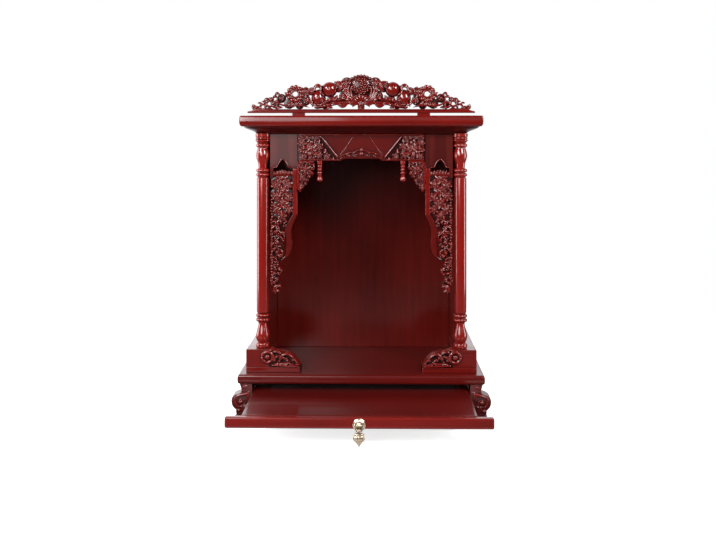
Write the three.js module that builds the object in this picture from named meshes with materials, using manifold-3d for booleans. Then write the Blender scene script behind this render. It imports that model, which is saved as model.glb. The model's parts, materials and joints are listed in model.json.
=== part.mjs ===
// Household altar cabinet: an open, lacquered wooden niche on four scroll feet, with turned columns,
// carved frets under a moulded cap, an openwork crest, and an offering tray that slides out below the deck.
// Millimetres, +Z up, front towards -Y. The model stands on Z = 0, centred on the box around it.

import * as THREE from 'three';
import { mergeVertices } from 'three/addons/utils/BufferGeometryUtils.js';
import Module from 'manifold-3d';

const wasm = await Module();
wasm.setup();

// ---------------------------------------------------------------------------------- driving dimensions

// Heights of the main levels above the ground.
const DECK_UNDER = 56;
const DECK_TOP = 72;
const PLINTH_TOP = 111;
const SOFFIT = 481;
const CAP_UNDER = 493;
const CAP_TOP = 511.5;
const CREST_UNDER = 516;
const CREST_TOP = 582;

// Plan: Y = 0 is the front edge of the deck board while the pieces are being made.
const DECK_HALF = 210;
const DECK_BACK = 250;
const WALL_INNER = 165.5;
const WALL_OUTER = 179.5;
const WALL_FRONT = 58;
const BACK_PANEL = 12;
const CAP_HALF = 207.5;
const CAP_FRONT = 4;
const COVE_REACH = 22;

// Columns and the plinth blocks that they stand on.
const COLUMN_X = 171;
const COLUMN_Y = 40;
const SHAFT_RADIUS = 10.5;
const BEAD_RADIUS = 12;
const PLINTH_OUTER = 197.5;
const PLINTH_INNER = 104.5;
const PLINTH_FRONT = 20;
const PLINTH_DEPTH = 38;

// Carved screen between the columns.
const SCREEN_FRONT = 31;
const FRET_INNER = 110.5;
const FRET_OUTER = 157.5;
const FRET_THICK = 13;
const LINTEL_HALF = 110;
const LINTEL_UNDER = 434;
const LINTEL_THICK = 14;
const BRACKET_THICK = 11;
const PENDANT_X = 72;

// Crest.
const CREST_FRONT = 8;
const CREST_THICK = 18;
const CREST_HALF = 193.5;
const CREST_RAIL = 6.5;
const TENON_X = 106.5;
const TENON_WIDTH = 22;

// Feet, tray and runners.
const FOOT_INNER = 184.5;
const FOOT_FRONT = 4;
const FOOT_DEPTH = 36;
const TRAY_HALF = 182.5;
const TRAY_TOP = 45;
const TRAY_THICK = 8;
const TRAY_LENGTH = 235;
const TRAY_OUT = 165;
const RAIL_HALF = 206.5;
const RAIL_UNDER = 28;
const RAIL_THICK = 14;
const SLIDE_PLAY = 0.5;
const RUNNER_HALF = 191;
const APRON_THICK = 12;
const APRON_UNDER = 24;

// Brass drop pull.
const PULL_RADIUS = 10;
const PULL_Z = 34.5;
const PULL_DEPTH = 5;
const PIN_RADIUS = 1.1;
const PIN_FORWARD = 9;
const PIN_Z = 28;
const DROP_TIP = 3;
const DROP_THICK = 8;

// Gap left where a curved or cut face meets its neighbour.
const GAP = 0.3;

// ------------------------------------------------------------------------------------ shape tools

/** Makes a solid from a closed geometry. */
function toSolid(geometry) {
  const bare = geometry.clone();
  bare.deleteAttribute('normal');
  bare.deleteAttribute('uv');
  const merged = mergeVertices(bare, 1e-4);
  const vertProperties = new Float32Array(merged.attributes.position.array);
  const triVerts = new Uint32Array(merged.index.array);
  return new wasm.Manifold(new wasm.Mesh({ numProp: 3, vertProperties, triVerts }));
}

/** Makes a geometry from a solid. */
function toGeometry(solid) {
  const mesh = solid.getMesh();
  const geometry = new THREE.BufferGeometry();
  geometry.setAttribute('position', new THREE.BufferAttribute(new Float32Array(mesh.vertProperties), 3));
  geometry.setIndex(new THREE.BufferAttribute(new Uint32Array(mesh.triVerts), 1));
  return geometry;
}

/** Joins overlapping geometries into one. */
function join(...geometries) {
  return toGeometry(geometries.map(toSolid).reduce((whole, next) => whole.add(next)));
}

/** Cuts every tool out of the body. */
function cut(body, ...tools) {
  return toGeometry(tools.map(toSolid).reduce((rest, tool) => rest.subtract(tool), toSolid(body)));
}

/** Keeps only what two geometries share. */
function common(first, second) {
  return toGeometry(toSolid(first).intersect(toSolid(second)));
}

/** A box given by its limits on each axis. */
function box([x0, x1], [y0, y1], [z0, z1]) {
  const geometry = new THREE.BoxGeometry(x1 - x0, y1 - y0, z1 - z0);
  return geometry.translate((x0 + x1) / 2, (y0 + y1) / 2, (z0 + z1) / 2);
}

/** Extrudes an outline drawn in X and Z, from the front plane backwards. */
function extrudeBack(shape, front, depth, curveSegments = 5) {
  const geometry = new THREE.ExtrudeGeometry(shape, { depth, bevelEnabled: false, curveSegments });
  return geometry.rotateX(Math.PI / 2).translate(0, front + depth, 0);
}

/** Extrudes an outline drawn in Y and Z, from one X to another. */
function extrudeAcross(shape, x0, x1, curveSegments = 5) {
  const geometry = new THREE.ExtrudeGeometry(shape, { depth: x1 - x0, bevelEnabled: false, curveSegments });
  const axes = new THREE.Matrix4().makeBasis(
    new THREE.Vector3(0, 1, 0), new THREE.Vector3(0, 0, 1), new THREE.Vector3(1, 0, 0));
  return geometry.applyMatrix4(axes).translate(x0, 0, 0);
}

/** An outline through the given corners. */
function outline(points) {
  return new THREE.Shape(points.map(([a, b]) => new THREE.Vector2(a, b)));
}

/** A turned solid about an upright axis; the profile is [radius, height] from bottom to top. */
function turned(profile, sides) {
  const points = profile.map(([radius, height]) => new THREE.Vector2(radius, height));
  return new THREE.LatheGeometry(points, sides).rotateX(Math.PI / 2);
}

/** The half-round profile of one turned bead. */
function bead(radius, neck, low, high) {
  const steps = [0, 1, 2, 3];
  return steps.map((step) => {
    const angle = (step / 3) * Math.PI;
    const swell = Math.sin(angle) * (radius - neck) * 1.15;
    return [neck + swell, low + ((1 - Math.cos(angle)) / 2) * (high - low)];
  });
}

/** A disc of the carved screen or crest, seen from the front. */
function disc(x, z, radius, front, depth, sides) {
  return new THREE.CylinderGeometry(radius, radius, depth, sides).translate(x, front + depth / 2, z);
}

/** A flattened dome that stands out of a carved face. */
function dome(x, z, radiusX, radiusZ, face, rise) {
  const geometry = new THREE.SphereGeometry(1, 10, 6);
  return geometry.scale(radiusX, rise, radiusZ).translate(x, face, z);
}

/** The mirror image of a geometry on the other side of the cabinet. */
function mirrored(geometry) {
  return toGeometry(toSolid(geometry).mirror([1, 0, 0]));
}

/** Right-hand geometries together with their left-hand mirror images. */
function both(...geometries) {
  return [...geometries, ...geometries.map(mirrored)];
}

// ------------------------------------------------------------------------------------ materials

const lacquer = { color: 0x6e1410, roughness: 0.22, metalness: 0 };
const brightLacquer = { color: 0x8c1f14, roughness: 0.2, metalness: 0 };
const darkLacquer = { color: 0x4a0d0a, roughness: 0.25, metalness: 0 };
const brass = { color: 0xb99552, roughness: 0.3, metalness: 1 };

const cabinet = new THREE.Group();

/** Adds one named piece to a group. */
function addPiece(group, name, geometry, finish) {
  const mesh = new THREE.Mesh(geometry, new THREE.MeshStandardMaterial(finish));
  mesh.name = name;
  group.add(mesh);
}

/** Adds a right-hand piece and its left-hand mirror image. */
function addPair(group, name, geometry, finish) {
  addPiece(group, `${name}_right`, geometry, finish);
  addPiece(group, `${name}_left`, mirrored(geometry), finish);
}

// ------------------------------------------------------------------------------------ carcass

/** A board whose front and both ends carry the same edge profile, given as [inset, height] going up. */
function mouldedBoard(half, front, back, edge) {
  const ends = [...edge.map(([inset, z]) => [half - inset, z]),
    ...edge.map(([inset, z]) => [inset - half, z]).reverse()];
  const lows = edge[0][1];
  const highs = edge[edge.length - 1][1];
  const side = [...edge.map(([inset, z]) => [front + inset, z]).reverse(), [back, lows], [back, highs]];
  return common(extrudeBack(outline(ends), front, back - front), extrudeAcross(outline(side), -half, half));
}

/** A rounded edge between two heights. */
function roundedEdge(low, high, reach) {
  const steps = [0, 1, 2, 3, 4, 5];
  return steps.map((step) => {
    const angle = (step / 5) * Math.PI;
    return [reach * (1 - Math.sin(angle)), low + ((1 - Math.cos(angle)) / 2) * (high - low)];
  });
}

const deckBoard = mouldedBoard(DECK_HALF, 0, DECK_BACK, roundedEdge(DECK_UNDER, DECK_TOP, 5));

const capNose = CAP_UNDER + 7;
const capBoard = mouldedBoard(CAP_HALF, CAP_FRONT, DECK_BACK,
  [[3, CAP_UNDER], [0.8, CAP_UNDER + 3], [0, capNose], [1.2, CAP_TOP - 5], [4.5, CAP_TOP]]);

/** The cove under the cap, open at the back and hollow over the niche. */
function capMoulding() {
  const steps = [0, 1, 2, 3, 4];
  const edge = steps.map((step) => {
    const angle = (step / 4) * (Math.PI / 2);
    return [4 + COVE_REACH * (1 - Math.sin(angle)), SOFFIT + (1 - Math.cos(angle)) * (CAP_UNDER - SOFFIT)];
  });
  const solid = mouldedBoard(CAP_HALF, CAP_FRONT, DECK_BACK, edge);
  const hollow = box([-WALL_INNER, WALL_INNER], [SCREEN_FRONT + 24, DECK_BACK + 1], [SOFFIT - 1, CAP_UNDER + 1]);
  return cut(solid, hollow);
}

const wall = box([WALL_INNER, WALL_OUTER], [WALL_FRONT, DECK_BACK], [DECK_TOP, SOFFIT]);
const backPanel = box([-WALL_INNER, WALL_INNER], [DECK_BACK - BACK_PANEL, DECK_BACK], [DECK_TOP, CAP_UNDER]);

addPiece(cabinet, 'deck_board', deckBoard, lacquer);
addPiece(cabinet, 'back_panel', backPanel, darkLacquer);
addPair(cabinet, 'side_wall', wall, darkLacquer);
addPiece(cabinet, 'cap_board', capBoard, brightLacquer);
addPiece(cabinet, 'cap_moulding', capMoulding(), lacquer);

// ------------------------------------------------------------------------------------ columns and plinths

/** One turned column between its plinth block and the cap moulding. */
function column() {
  const height = SOFFIT - PLINTH_TOP - GAP;
  const vaseLow = [[8.5, 9], [11, 15], [12, 21], [10.5, 29], [8, 38], [7.5, 42]];
  const vaseHigh = [[7.5, 313], [8.5, 319], [10.5, 325], [11.8, 331], [11, 338], [9, 344]];
  const profile = [
    [0, 0], [BEAD_RADIUS, 0], [BEAD_RADIUS, 5], [BEAD_RADIUS - 1, 8],
    ...vaseLow,
    ...bead(11.5, 9, 45, 52), ...bead(11.5, 9, 52.5, 59),
    [SHAFT_RADIUS, 61], [SHAFT_RADIUS, 293],
    ...bead(11.5, 9, 296, 302), ...bead(11.5, 9, 302.5, 309),
    ...vaseHigh,
    ...bead(BEAD_RADIUS, 9, 346, 353),
    [10, 354], [BEAD_RADIUS + 1, 357], [BEAD_RADIUS + 1, 359.5], [11, 361.5], [BEAD_RADIUS + 1, 364],
    [BEAD_RADIUS + 1, height], [0, height],
  ];
  return turned(profile, 10).translate(COLUMN_X, COLUMN_Y, PLINTH_TOP + GAP / 2);
}

/** A block under the column with a carved volute in front, running back as a skirting along the wall. */
function plinthBlock() {
  const foot = DECK_TOP + 9;
  const shape = new THREE.Shape();
  shape.moveTo(PLINTH_OUTER, DECK_TOP);
  shape.lineTo(PLINTH_OUTER, PLINTH_TOP);
  shape.lineTo(158, PLINTH_TOP);
  shape.quadraticCurveTo(150, PLINTH_TOP - 1, 146, 104);
  shape.quadraticCurveTo(140, 107, 132, 104);
  shape.quadraticCurveTo(124, 103, 119, 97);
  shape.quadraticCurveTo(111, 95, 110, 88);
  shape.quadraticCurveTo(106, 86, PLINTH_INNER + 1, foot);
  shape.lineTo(PLINTH_INNER, foot);
  shape.lineTo(PLINTH_INNER, DECK_TOP);
  const front = extrudeBack(shape, PLINTH_FRONT, PLINTH_DEPTH);
  const skirting = box([WALL_OUTER, PLINTH_OUTER], [PLINTH_FRONT + 1, DECK_BACK], [DECK_TOP, PLINTH_TOP]);
  const volute = dome(161, 96, 11, 11, PLINTH_FRONT, 3.5);
  const leaf = dome(134, 92, 15, 8, PLINTH_FRONT, 3);
  const housing = box([0, WALL_OUTER], [WALL_FRONT, DECK_BACK], [DECK_TOP - 1, PLINTH_TOP + 1]);
  return cut(join(front, skirting, volute, leaf), housing);
}

addPair(cabinet, 'column', column(), brightLacquer);
addPair(cabinet, 'plinth_block', plinthBlock(), lacquer);

// ------------------------------------------------------------------------------------ carved screen

/** Overlapping carved rosettes that make up an openwork band; each is [x, z, radius]. */
function rosettes(places, front, depth) {
  return places.map(([x, z, radius]) => disc(x, z, radius, front, depth, 8));
}

/** The fret beside a column: a plain panel with an arched opening over a carved, wavy-edged hanging. */
function sideFret() {
  const panel = new THREE.Shape();
  panel.moveTo(FRET_OUTER, SOFFIT - GAP);
  panel.lineTo(FRET_INNER, SOFFIT - GAP);
  panel.lineTo(FRET_INNER, 342);
  panel.quadraticCurveTo(FRET_INNER + 4, 334, FRET_INNER + 7, 326);
  panel.quadraticCurveTo(FRET_INNER + 12, 314, FRET_INNER + 10, 302);
  panel.quadraticCurveTo(FRET_INNER + 7, 290, FRET_INNER + 12, 277);
  panel.lineTo(FRET_INNER + 20, 265);
  panel.lineTo(FRET_INNER + 30, 262);
  panel.lineTo(FRET_INNER + 20, 300);
  panel.lineTo(FRET_INNER + 12, 342);
  panel.lineTo(FRET_INNER + 8, 352);
  panel.lineTo(FRET_INNER + 8, 414);
  panel.lineTo(120, 414);
  panel.lineTo(120, 421);
  panel.quadraticCurveTo(127, 421, 128, 428);
  panel.quadraticCurveTo(132, 434, 136, 436);
  panel.quadraticCurveTo(140, 434, 144, 428);
  panel.quadraticCurveTo(145, 421, 152, 421);
  panel.lineTo(152, 404);
  panel.lineTo(FRET_OUTER, 404);
  const places = [
    [136, 406, 13], [125, 399, 10], [148, 397, 10.4], [134, 387, 13], [124, 376, 9.5], [147, 376, 11.4],
    [134, 365, 13], [124, 353, 9.5], [146, 353, 12.4], [134, 342, 12], [147, 333, 10.5], [136, 325, 10],
    [147, 315, 10], [139, 304, 9], [149, 296, 9], [142, 285, 9], [150, 275, 8], [145, 264, 8],
    [150, 253, 7.6], [146, 242, 7.4], [149, 231, 7], [145, 221, 6.6], [148, 211, 7],
  ];
  const carving = rosettes(places, SCREEN_FRONT, FRET_THICK);
  const field = box([FRET_INNER, FRET_OUTER], [0, DECK_BACK], [DECK_TOP, SOFFIT]);
  return common(join(extrudeBack(panel, SCREEN_FRONT + 2, FRET_THICK - 2), ...carving), field);
}

/** The carved lintel board with its lobed lower edge and low cloud ornament. */
function lintel() {
  const shape = new THREE.Shape();
  shape.moveTo(LINTEL_HALF, SOFFIT - GAP);
  shape.lineTo(-LINTEL_HALF, SOFFIT - GAP);
  shape.lineTo(-LINTEL_HALF, LINTEL_UNDER);
  shape.lineTo(-46, LINTEL_UNDER);
  shape.quadraticCurveTo(-34, LINTEL_UNDER - 1, -30, LINTEL_UNDER + 3);
  shape.lineTo(30, LINTEL_UNDER + 3);
  shape.quadraticCurveTo(34, LINTEL_UNDER - 1, 46, LINTEL_UNDER);
  shape.lineTo(LINTEL_HALF, LINTEL_UNDER);
  const face = SCREEN_FRONT + 3;
  const board = extrudeBack(shape, face, LINTEL_THICK - 3);
  const cloud = dome(0, LINTEL_UNDER + 10, 24, 8, face, 3);
  const flowers = [[90, 459, 16], [68, 467, 9], [74, 445, 9], [99, 442, 8]].map(([x, z, radius]) =>
    dome(x, z, radius, radius * 0.8, face, 3));
  const bar = extrudeBack(outline([[38, 440], [41, 440], [71, 477], [68, 477]]), face - 2, 4);
  return join(board, cloud, ...both(bar, ...flowers));
}

/** A stepped carved bracket under one end of the lintel. */
function bracket() {
  const places = [
    [103, 426, 9.5], [90, 426, 10], [84, 423, 5.5], [103, 412, 9.5], [93, 410, 8], [104, 398, 8.5], [98, 397, 6],
    [105, 387, 7],
  ];
  const strip = box([LINTEL_HALF - 5, LINTEL_HALF], [SCREEN_FRONT + 2, SCREEN_FRONT + BRACKET_THICK], [382, 433]);
  const rim = box([82, LINTEL_HALF], [SCREEN_FRONT + 2, SCREEN_FRONT + BRACKET_THICK], [429, LINTEL_UNDER - GAP]);
  const carving = join(strip, rim, ...rosettes(places, SCREEN_FRONT, BRACKET_THICK));
  const clear = box([0, LINTEL_HALF + 0.2], [0, 80], [300, LINTEL_UNDER - GAP]);
  return common(carving, clear);
}

/** A turned pendant under the lintel: rings above, a flared bud below. */
function pendant() {
  const profile = [
    [0, -36], [3.6, -36], [5.6, -33], [4.8, -28], [2.6, -24],
    ...bead(4.4, 3, -23, -18), ...bead(4.4, 3, -17.5, -12.5), ...bead(4.4, 3, -12, -7),
    [3.6, -6], [4.6, -4], [4.6, 0], [0, 0],
  ];
  return turned(profile, 8).translate(PENDANT_X, SCREEN_FRONT + LINTEL_THICK / 2, LINTEL_UNDER - GAP);
}

addPair(cabinet, 'side_fret', sideFret(), lacquer);
addPiece(cabinet, 'lintel', lintel(), brightLacquer);
addPair(cabinet, 'bracket', bracket(), lacquer);
addPair(cabinet, 'pendant', pendant(), lacquer);

// ------------------------------------------------------------------------------------ crest

/** The openwork crest: peony, peaches and scrolls over a rail that stands on two tenons. */
function crest() {
  const back = CREST_FRONT + CREST_THICK;
  const high = CREST_UNDER + CREST_RAIL;
  const rail = extrudeBack(outline([[-CREST_HALF, CREST_UNDER], [CREST_HALF, CREST_UNDER],
    [CREST_HALF - 8, high], [8 - CREST_HALF, high]]), CREST_FRONT, CREST_THICK);
  const half = [
    [24, 566, 13], [40, 562, 11], [27, 544, 13], [50, 541, 10], [54, 556, 14], [71, 541, 13], [62, 528, 11],
    [84, 553, 9], [96, 538, 12], [93, 554, 8], [112, 548, 15.5], [104, 528, 10], [124, 532, 12],
    [136, 541, 10], [146, 529, 9], [155, 534, 8], [165, 526, 8], [176, 522, 7], [180, 527, 5],
  ];
  const eyes = [[113, 549, 4], [157, 532, 2.5], [168, 526, 2.5]];
  const discs = half.map(([x, z, radius]) => disc(x, z, radius, CREST_FRONT + 3, CREST_THICK - 5, 8));
  const fruit = [dome(54, 556, 13, 13, CREST_FRONT + 5, 5), dome(71, 541, 12, 12, CREST_FRONT + 5, 4.5)];
  const peony = [disc(0, CREST_TOP - 25, 25, CREST_FRONT + 3, CREST_THICK - 5, 16),
    dome(0, 560, 20, 17, CREST_FRONT + 6, 6)];
  const stem = box([-7, 7], [CREST_FRONT + 2, back - 2], [high - 1, 540]);
  const tenon = box([TENON_X - TENON_WIDTH / 2, TENON_X + TENON_WIDTH / 2], [CREST_FRONT + 3, back - 3],
    [CAP_TOP, CREST_UNDER + 1]);
  const holes = eyes.map(([x, z, radius]) => disc(x, z, radius, CREST_FRONT - 2, CREST_THICK + 4, 8));
  const slot = box([9, 42], [CREST_FRONT - 2, back + 2], [high + 1, high + 8]);
  const whole = join(rail, ...peony, stem, ...both(tenon, ...discs, ...fruit));
  const above = box([-CREST_HALF, CREST_HALF], [0, DECK_BACK], [CAP_TOP, CREST_TOP]);
  return common(cut(whole, ...both(slot, ...holes)), above);
}

addPiece(cabinet, 'crest', crest(), brightLacquer);

// ------------------------------------------------------------------------------------ feet

/** A scroll foot: neck under the deck, swelling knee, drawn-in ankle and a small toe. */
function foot(front, rise) {
  const shape = new THREE.Shape();
  shape.moveTo(FOOT_INNER, 0);
  shape.lineTo(213, 0);
  shape.quadraticCurveTo(216, 3, 209, 8);
  shape.quadraticCurveTo(218, 13, 220.5, 24);
  shape.quadraticCurveTo(221, 36, 213, 43);
  shape.quadraticCurveTo(203, 44, 202, 50);
  shape.lineTo(203, DECK_UNDER);
  shape.lineTo(FOOT_INNER, DECK_UNDER);
  const body = extrudeBack(shape, front, FOOT_DEPTH);
  return rise > 0 ? join(body, dome(203, 26, 12, 12, front, rise)) : body;
}

addPair(cabinet, 'foot_front', foot(FOOT_FRONT, 2.5), lacquer);
addPair(cabinet, 'foot_back', foot(DECK_BACK - FOOT_DEPTH - FOOT_FRONT, 0), lacquer);

// A plain apron under the back of the deck closes the space behind the tray.
const apronBack = DECK_BACK - 2;
const apron = box([GAP - FOOT_INNER, FOOT_INNER - GAP], [apronBack - APRON_THICK, apronBack],
  [APRON_UNDER, DECK_UNDER]);

addPiece(cabinet, 'back_apron', apron, darkLacquer);

// ------------------------------------------------------------------------------------ tray

/** A grooved runner under the deck that carries one edge of the tray plate. */
function runner() {
  const under = TRAY_TOP - TRAY_THICK;
  const lip = TRAY_HALF - 12;
  const shape = outline([
    [RUNNER_HALF - GAP, DECK_UNDER], [lip, DECK_UNDER], [lip, TRAY_TOP + SLIDE_PLAY],
    [TRAY_HALF + SLIDE_PLAY, TRAY_TOP + SLIDE_PLAY], [TRAY_HALF + SLIDE_PLAY, under - SLIDE_PLAY],
    [lip, under - SLIDE_PLAY], [lip, under - 6], [RUNNER_HALF - GAP, under - 6],
  ]);
  const from = FOOT_FRONT + FOOT_DEPTH + 1;
  return extrudeBack(shape, from, DECK_BACK - FOOT_DEPTH - FOOT_FRONT - 1 - from);
}

const tray = new THREE.Group();
const railFront = -TRAY_OUT;
const railBack = railFront + RAIL_THICK;
const trayPlate = box([-TRAY_HALF, TRAY_HALF], [railBack, railBack + TRAY_LENGTH],
  [TRAY_TOP - TRAY_THICK, TRAY_TOP]);

/** The tray's front rail, with softened front edges. */
function trayRail() {
  const shape = outline([
    [railBack, RAIL_UNDER], [railBack, TRAY_TOP], [railFront + 2.5, TRAY_TOP], [railFront + 0.7, TRAY_TOP - 0.9],
    [railFront, TRAY_TOP - 3], [railFront, RAIL_UNDER + 3], [railFront + 0.7, RAIL_UNDER + 0.9],
    [railFront + 2.5, RAIL_UNDER],
  ].reverse());
  return extrudeAcross(shape, -RAIL_HALF, RAIL_HALF);
}

addPair(cabinet, 'tray_runner', runner(), darkLacquer);
addPiece(tray, 'tray_plate', trayPlate, lacquer);
addPiece(tray, 'tray_rail', trayRail(), lacquer);

// ------------------------------------------------------------------------------------ brass drop pull

const pinY = railFront - PIN_FORWARD;

/** A cylinder that lies along X. */
function crossPin(radius, half, y, z, sides = 12) {
  return new THREE.CylinderGeometry(radius, radius, 2 * half, sides).rotateZ(Math.PI / 2).translate(0, y, z);
}

/** The domed rosette on the rail, with two ears and the pin between them. */
function pullRosette() {
  const profile = [[0, 0], [PULL_RADIUS, 0], [PULL_RADIUS, 1.2], [PULL_RADIUS - 1.6, 2.2], [6.5, 3.4],
    [4.5, PULL_DEPTH], [2.5, PULL_DEPTH + 1], [0, PULL_DEPTH + 1.3]];
  const points = profile.map(([radius, height]) => new THREE.Vector2(radius, height));
  const plate = new THREE.LatheGeometry(points, 16).rotateX(Math.PI).translate(0, railFront, PULL_Z);
  const ears = [-1, 1].map((side) => box([side * 4 - 0.75, side * 4 + 0.75], [pinY - 2, railFront - 1],
    [PIN_Z - 2, PIN_Z + 3]));
  return join(plate, ...ears, crossPin(PIN_RADIUS, 4.5, pinY, PIN_Z));
}

/** The drop: an eye round the pin and a flattened bud that hangs from it. */
function pullDrop() {
  const profile = [[0, DROP_TIP], [2, DROP_TIP + 1.2], [6, DROP_TIP + 5], [9.4, DROP_TIP + 10],
    [9, DROP_TIP + 14], [5, DROP_TIP + 17.5], [3.4, DROP_TIP + 18.5], [5, DROP_TIP + 20], [4.6, DROP_TIP + 21.5],
    [2, DROP_TIP + 22.5], [2, PIN_Z - 1.5], [0, PIN_Z - 1.5]];
  const bud = turned(profile, 12).scale(1, DROP_THICK / 18.8, 1).translate(0, pinY, 0);
  const eye = crossPin(2.7, 2.7, pinY, PIN_Z);
  return cut(join(bud, eye), crossPin(PIN_RADIUS + 0.35, 4, pinY, PIN_Z));
}

addPiece(tray, 'pull_rosette', pullRosette(), brass);
addPiece(tray, 'pull_drop', pullDrop(), brass);

// The whole model is moved so that its box is centred over the origin.
const frontLimit = pinY - DROP_THICK / 2;
const group = new THREE.Group();
group.add(cabinet, tray);
group.position.y = -(frontLimit + DECK_BACK) / 2;

export default group;
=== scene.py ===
"""Household altar cabinet in red lacquer: carved crest, turned columns, frets, scroll feet, sliding tray.

Pieces are drawn in millimetres. X runs to the right of the middle, Z up from the ground, and Y backwards
from the front edge of the deck board. Solid.build turns them into the frame's metres.
"""

import json
import logging
import math
from collections.abc import Callable, Iterable, Sequence
from dataclasses import dataclass
from enum import Enum

import bpy
import numpy as np
from numpy.typing import NDArray
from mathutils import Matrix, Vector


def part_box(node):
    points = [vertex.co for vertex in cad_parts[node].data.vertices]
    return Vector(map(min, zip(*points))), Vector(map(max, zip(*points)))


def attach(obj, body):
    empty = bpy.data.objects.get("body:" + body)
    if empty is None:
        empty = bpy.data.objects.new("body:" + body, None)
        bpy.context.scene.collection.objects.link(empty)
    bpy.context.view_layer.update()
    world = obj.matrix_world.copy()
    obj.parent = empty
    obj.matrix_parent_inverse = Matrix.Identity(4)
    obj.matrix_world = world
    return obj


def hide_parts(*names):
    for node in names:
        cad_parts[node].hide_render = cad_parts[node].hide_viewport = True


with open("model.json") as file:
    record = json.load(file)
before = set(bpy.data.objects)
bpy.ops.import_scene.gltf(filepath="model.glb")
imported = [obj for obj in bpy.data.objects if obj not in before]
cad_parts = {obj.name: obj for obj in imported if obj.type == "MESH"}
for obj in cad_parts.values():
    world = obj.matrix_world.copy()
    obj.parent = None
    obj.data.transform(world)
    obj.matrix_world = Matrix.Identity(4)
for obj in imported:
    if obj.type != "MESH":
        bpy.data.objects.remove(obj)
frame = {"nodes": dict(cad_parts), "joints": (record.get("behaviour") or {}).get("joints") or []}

Array = NDArray[np.float64]
Pair = tuple[float, float]
Colour = tuple[float, float, float]
Socket = bpy.types.NodeSocket
Spot = tuple[float, float, float]

MM = 0.001
CREASE = math.radians(38)
GOLDEN_ANGLE = 2.399963
DECK_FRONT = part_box("deck_board")[0].y
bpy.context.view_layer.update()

log = logging.getLogger("altar_cabinet")


# --------------------------------------------------------------------------------------- curves


def limits(node: str) -> tuple[Array, Array]:
    """Lowest and highest corner of a frame node, in drawing millimetres."""
    low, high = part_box(node)
    origin = np.array([0.0, DECK_FRONT, 0.0])
    return (np.array(low) - origin) / MM, (np.array(high) - origin) / MM


def spline(points: Sequence[Sequence[float]], count: int) -> Array:
    """A Catmull-Rom curve: each span is the cubic whose end slopes are half the chords beside it.

    Args:
        points: The points that the curve passes through.
        count: How many points to return, evenly spaced along the curve's length.

    Returns:
        An array of count points.
    """
    knots = np.asarray(points, float)
    padded = np.concatenate([2 * knots[:1] - knots[1:2], knots, 2 * knots[-1:] - knots[-2:-1]])
    fine = np.linspace(0, len(knots) - 1, 24 * len(knots))
    span = np.minimum(fine.astype(int), len(knots) - 2)
    t = (fine - span)[:, None]
    a, b, c, d = (padded[span + k] for k in range(4))
    curve = b + 0.5 * t * (c - a + t * (2 * a - 5 * b + 4 * c - d + t * (3 * (b - c) + d - a)))
    return resample(curve, count)


def resample(curve: Array, count: int) -> Array:
    """Points evenly spaced along a polyline: each coordinate interpolated over the running length."""
    steps = np.linalg.norm(np.diff(curve, axis=0), axis=1)
    run = np.concatenate([[0.0], np.cumsum(steps)])
    even = np.linspace(0, run[-1], count)
    return np.stack([np.interp(even, run, axis) for axis in curve.T], axis=-1)


def spiral(centre: Pair, radius: float, turns: float, start: float, hand: int, count: int = 60) -> Array:
    """A volute: the radius shrinks by a power of what is left of the turn, while the angle runs evenly.

    Args:
        centre: The eye of the volute.
        radius: The outer radius, where it starts.
        turns: How many turns it makes.
        start: The angle of its outer end, in degrees anticlockwise from +X.
        hand: 1 to wind anticlockwise, -1 clockwise.
        count: How many points.

    Returns:
        Points from the outer end to the eye.
    """
    t = np.linspace(0, 1, count)
    reach = radius * (1 - 0.86 * t**0.85)
    angle = math.radians(start) + hand * 2 * math.pi * turns * t
    return np.array(centre) + reach[:, None] * np.stack([np.cos(angle), np.sin(angle)], axis=-1)


# --------------------------------------------------------------------------------------- solids


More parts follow.
